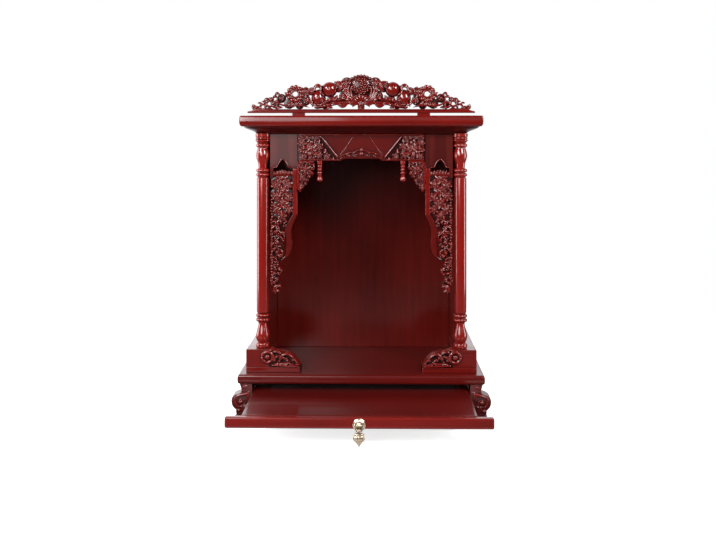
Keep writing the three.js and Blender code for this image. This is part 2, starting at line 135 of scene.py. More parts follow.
class Solid:
    """Closed surfaces gathered into one mesh."""

    def __init__(self) -> None:
        """Starts with nothing in it."""
        self.points: list[Array] = []
        self.quads: list[NDArray[np.int64]] = []
        self.fans: list[NDArray[np.int64]] = []
        self.stain_and_shade_values: list[Array] = []
        self.total = 0

    def rings(self, rings: Array, stain_and_shade: float = 0.0) -> None:
        """Adds a shell through a stack of rings, each end closed by a fan to its centre.

        The shell is turned right side out by the sign of its volume, the sum of every triangle's
        corner products over six.

        Args:
            rings: Points as [station, place round the ring, axis].
            stain_and_shade: How far this surface is darkened, from 0 to 1: mostly painted shade, and on the
                fret panel a dark stain as well.
        """
        stations, around = rings.shape[:2]
        points = np.concatenate([rings.reshape(-1, 3), rings[[0, -1]].mean(axis=1)])
        here = np.arange(stations * around).reshape(stations, around)
        beside = np.roll(here, -1, axis=1)
        quads = np.stack([here[:-1], beside[:-1], beside[1:], here[1:]], axis=-1).reshape(-1, 4)
        first = np.full(around, stations * around)
        fans = np.concatenate([
            np.stack([first, beside[0], here[0]], axis=-1),
            np.stack([first + 1, here[-1], beside[-1]], axis=-1),
        ])
        triangles = np.concatenate([quads[:, [0, 1, 2]], quads[:, [0, 2, 3]], fans])
        corners = (points - points.mean(axis=0))[triangles]
        volume = np.einsum("ij,ij->", corners[:, 0], np.cross(corners[:, 1], corners[:, 2]))
        if volume < 0:
            quads, fans = quads[:, ::-1], fans[:, ::-1]
        self.points.append(points)
        self.quads.append(quads + self.total)
        self.fans.append(fans + self.total)
        self.stain_and_shade_values.append(np.full(len(points), stain_and_shade))
        self.total += len(points)

    def include(self, other: "Solid", mirror: bool = False) -> None:
        """Adds another solid's surfaces, or their mirror image across the middle."""
        side = np.array([-1.0 if mirror else 1.0, 1.0, 1.0])
        order = slice(None, None, -1 if mirror else 1)
        self.points += [points * side for points in other.points]
        self.quads += [quads[:, order] + self.total for quads in other.quads]
        self.fans += [fans[:, order] + self.total for fans in other.fans]
        self.stain_and_shade_values += other.stain_and_shade_values
        self.total += other.total

    def mirrored(self) -> "Solid":
        """The mirror image across the middle."""
        image = Solid()
        image.include(self, mirror=True)
        return image

    def board(self, low: Sequence[float], high: Sequence[float], edge: float, steps: int = 4,
              stain_and_shade: float = 0.0) -> None:
        """Adds a box with rounded edges.

        Rings are stacked along the longest side. Each is a rectangle with quarter-circle corners,
        drawn in by the same quarter circle near both ends. A point beside each corner, and a ring on
        each end, keep the flat faces flat.

        Args:
            low: The lowest corner.
            high: The highest corner.
            edge: The radius of the edges.
            steps: Points on each quarter circle.
            stain_and_shade: How far it is darkened, mostly as painted shade.
        """
        low, high = np.asarray(low, float), np.asarray(high, float)
        long = int(np.argmax(high - low))
        others = [axis for axis in range(3) if axis != long]
        bend = np.linspace(0, math.pi / 2, steps + 1)
        inset = edge * (1 - np.sin(bend))
        rise = edge * (1 - np.cos(bend))
        middle = (low[others] + high[others]) / 2
        half = (high[others] - low[others]) / 2
        beside = min(edge, 0.4 * float(half.min()))
        start, end = low[long], high[long]
        stations = np.concatenate([[start], start + rise, [start + 2.5 * edge, end - 2.5 * edge],
                                   end - rise[::-1], [end]])
        insets = np.concatenate([[edge + beside], inset, [0, 0], inset[::-1], [edge + beside]])
        arc = np.stack([np.cos(bend), np.sin(bend)], axis=-1) * edge
        arc = np.concatenate([[[edge, -beside]], arc, [[-beside, edge]]])
        quarter = np.array([[0, 1], [-1, 0]])
        turn = np.concatenate([arc @ np.linalg.matrix_power(quarter, k) for k in range(4)])
        signs = np.repeat([[1, 1], [-1, 1], [-1, -1], [1, -1]], steps + 3, axis=0)
        reach = (half - edge) * signs + turn
        shrink = 1 - np.minimum(insets[:, None, None], 0.9 * half) / half
        rings = np.zeros((len(stations), len(turn), 3))
        rings[:, :, others] = middle + reach * shrink
        rings[:, :, long] = stations[:, None]
        self.rings(rings, stain_and_shade)

    def turned(self, profile: Array, centre: Sequence[float], sides: int) -> None:
        """Adds a turned shape: the profile [radius, height] swung round an upright axis.

        Args:
            profile: Radius and height, from bottom to top.
            centre: X, Y of the axis and the Z that heights count from.
            sides: Points round the circle.
        """
        angle = np.linspace(0, 2 * math.pi, sides, endpoint=False)
        radius, height = profile[:, :1], np.repeat(profile[:, 1:], sides, axis=1)
        rings = np.stack([radius * np.cos(angle), radius * np.sin(angle), height], axis=-1)
        self.rings(rings + np.asarray(centre, float))

    def build(self, name: str, finish: "Finish", body: str, *nodes: str) -> None:
        """Makes the mesh object, dresses it and places it on its body.

        Args:
            name: The piece's name.
            finish: The finish that it wears.
            body: The frame body that it moves with.
            nodes: The frame nodes that it stands for.
        """
        points = (np.concatenate(self.points) * MM + [0, DECK_FRONT, 0]).astype(np.float32)
        quads, fans = np.concatenate(self.quads), np.concatenate(self.fans)
        sizes = np.concatenate([np.full(len(quads), 4), np.full(len(fans), 3)])
        mesh = bpy.data.meshes.new(name)
        mesh.vertices.add(len(points))
        mesh.vertices.foreach_set("co", points.ravel())
        mesh.loops.add(int(sizes.sum()))
        mesh.loops.foreach_set("vertex_index", np.concatenate([quads.ravel(), fans.ravel()]).astype(np.int32))
        mesh.polygons.add(len(sizes))
        mesh.polygons.foreach_set("loop_start", np.concatenate([[0], np.cumsum(sizes)[:-1]]).astype(np.int32))
        mesh.update(calc_edges=True)
        mesh.polygons.foreach_set("use_smooth", np.ones(len(sizes), bool))
        mesh.set_sharp_from_angle(angle=CREASE)
        # Per-point darkening read by the lacquer shader: mostly painted shade, and a dark stain on the fret
        # panel.
        stain_and_shade = mesh.attributes.new("stain_and_shade", "FLOAT", "POINT")
        stain_and_shade.data.foreach_set("value", np.concatenate(self.stain_and_shade_values).astype(np.float32))
        piece = bpy.data.objects.new(name, mesh)
        bpy.context.scene.collection.objects.link(piece)
        mesh.materials.append(finish.material())
        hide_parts(*nodes)
        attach(piece, body)
        log.info("%s: %d points, %d faces, in %s", name, len(points), len(sizes), finish.slot)

    def build_pair(self, node: str, making: str, finish: "Finish") -> None:
        """Builds a right-hand piece of the cabinet, and its mirror image for the left."""
        for side, solid in (("right", self), ("left", self.mirrored())):
            solid.build(f"{node}_{side}_{making}", finish, "cabinet", f"{node}_{side}")


class Taper(Enum):
    """How a carved stroke's width changes from its start to its end."""

    STEM = "even, with round ends"
    TAIL = "full at the start, thin at the end"
    LEAF = "pointed at both ends"
    PETAL = "narrow at the start, full and round towards the end"

    def profile(self, count: int) -> Array:
        """The share of the full width at each of count places; t runs from 0 to 1.

        STEM is a flat line with quarter-circle ends, TAIL a line falling to a fifth, LEAF a sine of a
        slowed t, PETAL a sine of a hurried t.
        """
        t = np.linspace(0, 1, count)
        ends = np.sqrt(np.clip(1 - np.clip(1 - np.minimum(t, 1 - t) / 0.07, 0, 1) ** 2, 0.02, 1))
        match self:
            case Taper.STEM:
                return ends
            case Taper.TAIL:
                return ends * (1 - 0.8 * t)
            case Taper.LEAF:
                return 0.04 + 0.96 * np.sin(math.pi * t**0.85) ** 0.9
            case Taper.PETAL:
                return ends * (0.28 + 0.72 * np.sin(math.pi * t**1.7 * 0.82))


class Carving(Solid):
    """Relief carved from one board: strokes, leaves, blossoms and fruit that share a flat back."""

    def __init__(self, front: float, back: float, foot: float = 0.0) -> None:
        """Keeps the planes of the highest relief and of the flat back, and where heights count from."""
        super().__init__()
        self.front = front
        self.back = back
        self.foot = foot

    def rings(self, rings: Array, stain_and_shade: float = 0.0) -> None:
        """Adds a shell whose heights count from this carving's foot."""
        super().rings(rings + [0.0, 0.0, self.foot], stain_and_shade)

    def stroke(self, path: Array, width: float, taper: Taper = Taper.STEM, sink: float = 0.0,
               groove: float = 0.0, stain_and_shade: float = 0.0) -> None:
        """Adds a rounded ridge along a path.

        Across the path the section is half an ellipse on upright flanks, less a bell-shaped groove
        down its middle. The ellipse rises by half the stroke's width there, and thin ends lie lower.

        Args:
            path: Points [X, Z].
            width: The full width.
            taper: How the width changes.
            sink: How far the crown lies behind the board's front.
            groove: The groove's depth.
            stain_and_shade: How far it is darkened, mostly as painted shade.
        """
        share = taper.profile(len(path))
        along = np.gradient(path, axis=0)
        along /= np.linalg.norm(along, axis=1, keepdims=True) + 1e-9
        across = np.stack([-along[:, 1], along[:, 0]], axis=-1)
        bend = np.linspace(0, math.pi, 11)
        side = np.concatenate([[-0.97], -np.cos(bend), [0.97]])
        dip = np.exp(-(np.cos(bend) / 0.3) ** 2)
        full = self.back - self.front - sink
        height = full - (1 - np.sqrt(share)) * min(full * 0.35, width * 0.6)
        rise = np.minimum(width * share * 0.5, height * 0.5)
        lift = height[:, None] - rise[:, None] * (1 - np.sin(bend)) - groove * dip * share[:, None]
        flat = np.zeros((len(path), 1))
        plan = path[:, None] + across[:, None] * (side[:, None] * width / 2) * share[:, None, None]
        depth = self.back - np.concatenate([flat, lift, flat], axis=1)
        self.rings(np.stack([plan[..., 0], depth, plan[..., 1]], axis=-1), stain_and_shade)

    def ring(self, centre: Pair, radius: float, width: float, sink: float = 0.0, stain_and_shade: float = 0.0) -> None:
        """Adds a ring: a ridge whose path runs once round and overlaps its own start."""
        angle = np.linspace(0, 2.06 * math.pi, 44)
        path = np.array(centre) + radius * np.stack([np.cos(angle), np.sin(angle)], axis=-1)
        self.stroke(path, width, Taper.STEM, sink, stain_and_shade=stain_and_shade)

    def leaf(self, base: Pair, tip: Pair, width: float, bow: float = 0.0, sink: float = 0.0,
             taper: Taper = Taper.LEAF) -> None:
        """Adds a leaf with a grooved midrib, bowed sideways by a share of its length."""
        start, end = np.array(base, float), np.array(tip, float)
        chord = end - start
        middle = (start + end) / 2 + bow * np.array([-chord[1], chord[0]])
        self.stroke(spline([start, middle, end], 20), width, taper, sink, groove=min(1.2, width * 0.2))

    def leaves(self, sink: float, *rows: Sequence[float]) -> None:
        """Adds leaves that lie equally deep, each [base X, base Z, tip X, tip Z, width, bow]."""
        for x, z, tip_x, tip_z, width, bow in rows:
            self.leaf((x, z), (tip_x, tip_z), width, bow, sink)

    def scroll(self, lead: Sequence[Pair], centre: Pair, radius: float, turns: float, hand: int,
               width: float, sink: float = 0.0) -> None:
        """Adds a stem that winds into a volute round a round eye.

        Args:
            lead: Points that the stem passes on its way to the volute.
            centre: The volute's eye.
            radius: The volute's outer radius, to the middle of the stroke.
            turns: How many turns it makes.
            hand: 1 to wind anticlockwise, -1 clockwise.
            width: The stroke's full width at its start.
            sink: How far it lies behind the board's front.
        """
        last = np.array(lead[-1], float) - np.array(centre)
        start = math.degrees(math.atan2(last[1], last[0])) + 24 * hand
        winding = spiral(centre, radius, turns, start, hand, 40)
        path = spline([*lead, *winding[::4], winding[-1]], 30 + int(26 * turns))
        self.stroke(path, width, Taper.TAIL, sink)
        self.bead(centre, width * 0.52, sink)

    def bead(self, centre: Pair, radius: float, sink: float = 0.0) -> None:
        """Adds a round bead on a short upright flank."""
        self.lobed(centre, radius, 0, sink, cup=0.0)

    def lobed(self, centre: Pair, radius: float, lobes: int, sink: float, cup: float, turn: float = 0.0,
              stretch: float = 1.0, fall: float = 0.55, stain_and_shade: float = 0.0) -> None:
        """Adds a disc with a lobed rim and a crowned or cupped face.

        The rim's radius swells between valleys by the root of a cosine's size. The face falls from the
        middle as one less the radius squared, and valleys between lobes are creased by a bell curve.

        Args:
            centre: The middle.
            radius: The largest radius.
            lobes: How many lobes; none makes a plain round dome.
            sink: How far the crown lies behind the board's front.
            cup: How deep the face is cupped between middle and rim.
            turn: The angle of a lobe's middle, in degrees.
            stretch: Height over width.
            fall: How far the rim lies behind the crown, as a share of the radius.
            stain_and_shade: How far it is darkened, mostly as painted shade.
        """
        count = 20 if lobes == 0 else 8 * lobes
        angle = np.linspace(0, 2 * math.pi, count, endpoint=False)
        swing = np.abs(np.cos(lobes * (angle - math.radians(turn)) / 2)) if lobes else np.ones(count)
        rim = radius * (0.80 + 0.20 * swing**0.6) if lobes else np.full(count, radius)
        share = np.sin(np.linspace(0.08, 1, 7) * math.pi / 2)[:, None]
        crease = np.exp(-((swing / 0.35) ** 2)) * share if lobes else np.zeros((7, count))
        full = self.back - self.front - sink
        drop = min(radius * fall, full * 0.6)
        slope = drop * (1 - np.sqrt(np.clip(1 - share**2 * 0.98, 0, 1)))
        bowl = cup * np.sin(math.pi * share) ** 2
        face = self.front + sink + slope + bowl + crease * drop * 0.5
        reach = np.concatenate([share * rim, rim[None] * 0.99, rim[None] * 0.97])
        flank = np.array([[self.back - 0.15 * full], [self.back]])
        depth = np.concatenate([face, np.broadcast_to(flank, (2, count))])
        x = centre[0] + reach * np.cos(angle)
        z = centre[1] + reach * np.sin(angle) * stretch
        self.rings(np.stack([x, depth, z], axis=-1), stain_and_shade)

    def fruit(self, centre: Pair, radius: float, seam: float, sink: float = 0.0, point: float = 0.0) -> None:
        """Adds a peach: a ball with a creased seam, drawn to a point on one side.

        The rim grows towards the seam's end by the power of a cosine; the face is a ball, less a bell
        curve across the seam.

        Args:
            centre: The middle.
            radius: The ball's radius.
            seam: The seam's direction, in degrees.
            sink: How far the crown lies behind the board's front.
            point: How much longer the pointed end is, as a share of the radius.
        """
        angle = np.linspace(0, 2 * math.pi, 40, endpoint=False)
        ahead = np.cos(angle - math.radians(seam))
        rim = radius * (1 + point * np.clip(ahead, 0, 1) ** 6)
        share = np.sin(np.linspace(0.05, 1, 12) * math.pi / 2)[:, None]
        full = self.back - self.front - sink
        drop = min(radius * 0.8, full * 0.62)
        aside = share * np.sin(angle - math.radians(seam))
        crease = np.where(ahead > -0.2, np.exp(-((aside / 0.09) ** 2)), 0.0) * (0.25 + 0.75 * share)
        face = self.front + sink + drop * (1 - np.sqrt(np.clip(1 - share**2 * 0.99, 0, 1))) + 0.9 * crease
        reach = np.concatenate([share * rim, rim[None] * 0.98])
        depth = np.concatenate([face, np.full((1, 40), self.back)])
        x, z = centre[0] + reach * np.cos(angle), centre[1] + reach * np.sin(angle)
        self.rings(np.stack([x, depth, z], axis=-1))

    def blossom(self, centre: Pair, radius: float, petals: int, sink: float = 0.0, turn: float = 0.0) -> None:
        """Adds a full flower: lobed discs that shrink and step forward, and a round heart.

        Args:
            centre: The middle.
            radius: The outer radius.
            petals: Petals in the outer ring.
            sink: How far the heart lies behind the board's front.
            turn: The first petal's angle, in degrees.
        """
        step = min(1.5, radius * 0.16)
        # Painted shade: the outer, deepest ring of petals is darkened.
        self.lobed(centre, radius, petals, sink + 3 * step, 0.9, turn, fall=0.2, stain_and_shade=0.25)
        self.lobed(centre, radius * 0.76, petals, sink + 1.8 * step, 0.8, turn + 180 / petals, fall=0.25)
        self.lobed(centre, radius * 0.52, petals - 2, sink + 0.8 * step, 0.6, turn, fall=0.3)
        self.bead(centre, radius * 0.25, sink)

    def posy(self, centre: Pair, radius: float, petals: int, sink: float = 0.0, turn: float = 0.0) -> None:
        """Adds a flower with pointed leaves that show between its petals."""
        for angle in np.radians(turn + 180 / petals + np.arange(petals) * 360 / petals):
            tip = (centre[0] + radius * 1.12 * math.cos(angle), centre[1] + radius * 1.12 * math.sin(angle))
            self.leaf(centre, tip, radius * 0.6, 0.12, sink + 2.6, Taper.PETAL)
        self.blossom(centre, radius * 0.84, petals, sink, turn)

    def sprig(self, path: Array, width: float, size: float, count: int, sink: float = 0.0) -> None:
        """Adds a stem with leaves on alternate sides, and a berry across from each leaf.

        Args:
            path: Points [X, Z].
            width: The stem's width at its foot.
            size: How long the leaves are.
            count: How many leaves.
            sink: How far the leaves lie behind the board's front.
        """
        self.stroke(path, width, Taper.TAIL, sink + 1.8)
        along = np.gradient(path, axis=0)
        along /= np.linalg.norm(along, axis=1, keepdims=True)
        for k, place in enumerate(np.linspace(2, len(path) - 3, count).astype(int)):
            side = 1 if k % 2 else -1
            ahead = along[place]
            aside = side * np.array([-ahead[1], ahead[0]])
            foot = path[place]
            self.leaf(foot, foot + size * (0.7 * ahead + 0.75 * aside), size * 0.56, 0.25 * side, sink + 0.4)
            self.bead(foot - aside * size * 0.34, size * 0.2, sink + 0.8)

    def ground(self, places: Iterable[tuple[float, float, float]], sink: float, stain_and_shade: float = 0.75) -> None:
        """Adds the sunk background that joins a carving: overlapping flat discs, each [X, Z, radius],
        darkened as painted shade in its recesses.
        """
        for x, z, radius in places:
            # Painted shade: the ground discs are darkened.
            self.lobed((x, z), radius, 0, sink, 0.0, fall=0.08, stain_and_shade=stain_and_shade)

    def seeds(self, centre: Pair, radius: float, bead: float, sink: float, drop: float, above: float) -> None:
        """Dots a dome with beads, each turned a golden angle on from the last.

        Args:
            centre: The dome's middle.
            radius: The dome's radius.
            bead: Each bead's radius.
            sink: How far the dome's crown lies behind the board's front.
            drop: How far the dome's rim lies behind its crown.
            above: Beads lower than this Z are left out.
        """
        count = (radius / bead) ** 2 * 0.34
        for k in range(int(count)):
            angle, reach = k * GOLDEN_ANGLE, 0.93 * math.sqrt((k + 0.5) / count)
            x = centre[0] + reach * radius * math.cos(angle)
            z = centre[1] + 0.9 * reach * radius * math.sin(angle)
            if z > above:
                self.bead((x, z), bead, sink + drop * (1 - math.sqrt(1 - 0.98 * reach**2)) - 1.0)

    def between(self, first: Array, second: Array, face: float, edge: float, stain_and_shade: float = 0.0) -> None:
        """Adds a flat board between two outlines, with eased front edges.

        Each slice, from a point of the first outline to its partner on the second, is a rectangle whose
        front corners are rounded off.

        Args:
            first: Points [X, Z] of one outline.
            second: Their partners on the other outline.
            face: The Y of the front face.
            edge: How far the front edges are eased.
            stain_and_shade: How far it is darkened, mostly as painted shade.
        """
        ease = np.array([0.0, 0.0, 0.3, 1.0, 1.8])[:, None] * edge
        across = second - first
        unit = across / (np.linalg.norm(across, axis=1, keepdims=True) + 1e-9)
        near = first[:, None] + unit[:, None] * ease
        far = second[:, None] - unit[:, None] * ease[::-1]
        plan = np.concatenate([near, far], axis=1)
        side = [self.back, face + edge, face + 0.3 * edge, face, face]
        depth = np.broadcast_to(np.array(side + side[::-1]), plan.shape[:2])
        self.rings(np.stack([plan[..., 0], depth, plan[..., 1]], axis=-1), stain_and_shade)

    def panel(self, x: Array, low: Array, high: Array, face: float, edge: float, stain_and_shade: float = 0.0) -> None:
        """Adds a flat board between a lower and an upper outline, given over places from end to end."""
        self.between(np.stack([x, low], axis=-1), np.stack([x, high], axis=-1), face, edge, stain_and_shade)


# --------------------------------------------------------------------------------------- shaders


class Signal:
    """A shader value that arithmetic can be written on; each operation adds its Math node."""

    def __init__(self, graph: "Graph", socket: Socket) -> None:
        """Wraps one output socket of a graph."""
        self.graph = graph
        self.socket = socket

    def __add__(self, other: "Signal | float") -> "Signal":
        """Sum."""
        return self.graph.math("ADD", self, other)

    def __radd__(self, other: float) -> "Signal":
        """Sum, reflected."""
        return self.graph.math("ADD", other, self)

    def __sub__(self, other: "Signal | float") -> "Signal":
        """Difference."""
        return self.graph.math("SUBTRACT", self, other)

    def __rsub__(self, other: float) -> "Signal":
        """Difference, reflected."""
        return self.graph.math("SUBTRACT", other, self)

    def __mul__(self, other: "Signal | float") -> "Signal":
        """Product."""
        return self.graph.math("MULTIPLY", self, other)

    def clamped(self) -> "Signal":
        """The value kept between 0 and 1."""
        node = self.graph.node("ShaderNodeClamp", {}, {"Value": self})
        return Signal(self.graph, node.outputs[0])


class Graph:
    """The node tree of one material."""

    def __init__(self, tree: bpy.types.NodeTree) -> None:
        """Clears the tree and keeps it."""
        self.tree = tree
        tree.nodes.clear()

    def node(self, kind: str, settings: dict[str, object], inputs: dict[str | int, object]) -> bpy.types.Node:
        """Adds a node, sets its settings, then its sockets.

        Args:
            kind: The node's type.
            settings: Properties set on the node itself.
            inputs: Socket values, or Signals or sockets to link.

        Returns:
            The node.
        """
        node = self.tree.nodes.new(kind)
        for key, value in settings.items():
            setattr(node, key, value)
        for key, value in inputs.items():
            source = value.socket if isinstance(value, Signal) else value
            if isinstance(source, Socket):
                self.tree.links.new(source, node.inputs[key])
            else:
                node.inputs[key].default_value = source
        return node

    def math(self, operation: str, first: "Signal | float", second: "Signal | float") -> Signal:
        """One Math node."""
        node = self.node("ShaderNodeMath", {"operation": operation}, {0: first, 1: second})
        return Signal(self, node.outputs[0])

    def noise(self, vector: Socket, scale: float, detail: float, roughness: float = 0.55) -> Signal:
        """A noise texture's value."""
        inputs = {"Vector": vector, "Scale": scale, "Detail": detail, "Roughness": roughness}
        return Signal(self, self.node("ShaderNodeTexNoise", {}, inputs).outputs["Fac"])

    def blend(self, share: Signal, first: Socket | Colour, second: Colour) -> Socket:
        """A colour mix by a value, from a linked or plain colour to a plain one."""
        start = (*first, 1.0) if isinstance(first, tuple) else first
        node = self.node("ShaderNodeMix", {"data_type": "RGBA"}, {0: share, 6: start, 7: (*second, 1.0)})
        return node.outputs[2]

    def hollows(self, distance: float) -> Signal:
        """How open a place is: 1 on open faces, less in carved hollows."""
        settings = {"samples": 6, "only_local": True}
        node = self.node("ShaderNodeAmbientOcclusion", settings, {"Distance": distance})
        return Signal(self, node.outputs["AO"])

    def ridges(self) -> Signal:
        """How convex a place is: about half on flat faces, more on edges."""
        return Signal(self, self.node("ShaderNodeNewGeometry", {}, {}).outputs["Pointiness"])

    def place(self, scale: Sequence[float] = (1.0, 1.0, 1.0)) -> Socket:
        """The piece's own coordinates, in metres, stretched by a scale on each axis."""
        where = self.node("ShaderNodeTexCoord", {}, {}).outputs["Object"]
        return self.node("ShaderNodeMapping", {}, {"Vector": where, "Scale": tuple(scale)}).outputs[0]


class Grain(Enum):
    """Which way the wood's fibres run, as the pattern's scale on each axis."""

    ACROSS = (0.06, 1.0, 1.0)
    BACKWARDS = (1.0, 0.06, 1.0)
    UPRIGHT = (1.0, 1.0, 0.06)


@dataclass(frozen=True)
class Finish:
    """What every finish has: a name, the record's material slot, and a material made once."""

    name: str
    slot: str

    def material(self) -> bpy.types.Material:
        """The finish's material, made the first time it is asked for."""
        found = bpy.data.materials.get(self.name)
        if found:
            return found
        made = bpy.data.materials.new(self.name)
        made.use_nodes = True
        self.dress(Graph(made.node_tree))
        return made

    def dress(self, graph: Graph) -> None:
        """Builds the shader; each kind of finish has its own."""
        raise NotImplementedError


@dataclass(frozen=True)
class Lacquer(Finish):
    """Stained wood under clear gloss lacquer, with painted shade in its hollows and painted highlights on its
    edges.
    """

    grain: Grain
    deep: Colour = (0.060, 0.0026, 0.0018)
    bright: Colour = (0.170, 0.0062, 0.0040)
    # Colour of the painted highlight on convex edges.
    edge_highlight: Colour = (0.30, 0.028, 0.016)
    # Dark colour of the painted shade in hollows and where the stain_and_shade attribute is set; a dark stain
    # on the fret panel.
    stain_and_shade_colour: Colour = (0.020, 0.0012, 0.0010)
    carved: bool = False
    gloss: float = 0.05

    def dress(self, graph: Graph) -> None:
        """Grain, tone, painted edge highlights and painted shade feed the colour; streaks and lacquer ripple
        feed roughness and bump.
        """
        plain = graph.place()
        along = graph.place(self.grain.value)
        tone = graph.noise(plain, 9.0, 2.0)
        figure = graph.noise(along, 130.0, 5.0, 0.62)
        pores = (graph.noise(along, 900.0, 3.0, 0.7) - 0.56).clamped() * 4.0
        ripple = graph.noise(plain, 320.0, 2.0)
        mixture = (0.25 + tone * 0.75 + (figure - 0.5) * 0.9 - pores * 0.12).clamped()
        colour = graph.blend(mixture, self.deep, self.bright)
        # Painted highlight: convex edges, found by pointiness, are brightened towards the edge-highlight
        # colour.
        edges = ((graph.ridges() - 0.53) * 9.0).clamped()
        colour = graph.blend(edges * (0.35 + tone * 0.4), colour, self.edge_highlight)
        # Per-point darkening attribute: mostly painted shade, and a dark stain on the fret panel.
        stain_and_shade_node = graph.node("ShaderNodeAttribute", {"attribute_name": "stain_and_shade"}, {})
        stain_and_shade = Signal(graph, stain_and_shade_node.outputs["Fac"])
        # Painted shade: the colour falls to the dark colour in hollows, by ambient occlusion, and where the
        # attribute is set.
        openness = graph.hollows(0.006 if self.carved else 0.004)
        shade = ((1.0 - openness) * (1.3 if self.carved else 0.8) + stain_and_shade * 0.85).clamped()
        colour = graph.blend(shade, colour, self.stain_and_shade_colour)
        smears = graph.noise(plain, 38.0, 3.0)
        roughness = (0.24 + (figure - 0.5) * 0.12 + shade * 0.25 + pores * 0.05).clamped()
        height = figure * 0.25 + ripple * 0.4 - pores * 0.3
        bump = graph.node("ShaderNodeBump", {}, {"Strength": 0.08, "Distance": 0.0004, "Height": height})
        shader = graph.node("ShaderNodeBsdfPrincipled", {}, {
            "Base Color": colour, "Roughness": roughness, "Normal": bump.outputs[0],
            "Specular IOR Level": 0.1, "Coat Weight": (1.0 - shade * 0.45 - (smears - 0.5) * 0.2).clamped(),
            "Coat Roughness": self.gloss, "Coat IOR": 1.5,
        })
        graph.node("ShaderNodeOutputMaterial", {}, {"Surface": shader.outputs[0]})


@dataclass(frozen=True)
class Brass(Finish):
    """Pale cast brass, polished on its high places and brown with age in its hollows."""

    bright: Colour = (0.70, 0.59, 0.47)
    warm: Colour = (0.50, 0.38, 0.25)
    aged: Colour = (0.05, 0.03, 0.015)

    def dress(self, graph: Graph) -> None:
        """Two brass tones clouded together, with patina where the casting is hollow."""
        plain = graph.place()
        cloud = graph.noise(plain, 160.0, 4.0)
        speck = graph.noise(plain, 1400.0, 3.0)
        colour = graph.blend(cloud, self.bright, self.warm)
        shade = ((1.0 - graph.hollows(0.004)) * 2.4).clamped()
        colour = graph.blend(shade, colour, self.aged)
        roughness = (0.2 + cloud * 0.16 + shade * 0.3 + speck * 0.06).clamped()
        height = speck + cloud
        bump = graph.node("ShaderNodeBump", {}, {"Strength": 0.12, "Distance": 0.0002, "Height": height})
        shader = graph.node("ShaderNodeBsdfPrincipled", {}, {
            "Base Color": colour, "Roughness": roughness, "Metallic": (1.0 - shade * 0.4).clamped(),
            "Normal": bump.outputs[0],
        })
        graph.node("ShaderNodeOutputMaterial", {}, {"Surface": shader.outputs[0]})


@dataclass(frozen=True)
class Palette:
    """Every finish on the cabinet."""

    across: Lacquer = Lacquer("lacquer_across", "red_lacquer", Grain.ACROSS, gloss=0.10)
    upright: Lacquer = Lacquer("lacquer_upright", "red_lacquer", Grain.UPRIGHT, gloss=0.13,
                               deep=(0.090, 0.0036, 0.0024), bright=(0.235, 0.0085, 0.0052))
    backwards: Lacquer = Lacquer("lacquer_backwards", "red_lacquer", Grain.BACKWARDS)
    carved: Lacquer = Lacquer("lacquer_carved", "red_lacquer", Grain.ACROSS, carved=True)
    inner: Lacquer = Lacquer("lacquer_inner", "dark_lacquer", Grain.UPRIGHT, gloss=0.14,
                             deep=(0.045, 0.0028, 0.002), bright=(0.13, 0.007, 0.0045))
    brass: Brass = Brass("cast_brass", "brass")


# --------------------------------------------------------------------------------------- carcass


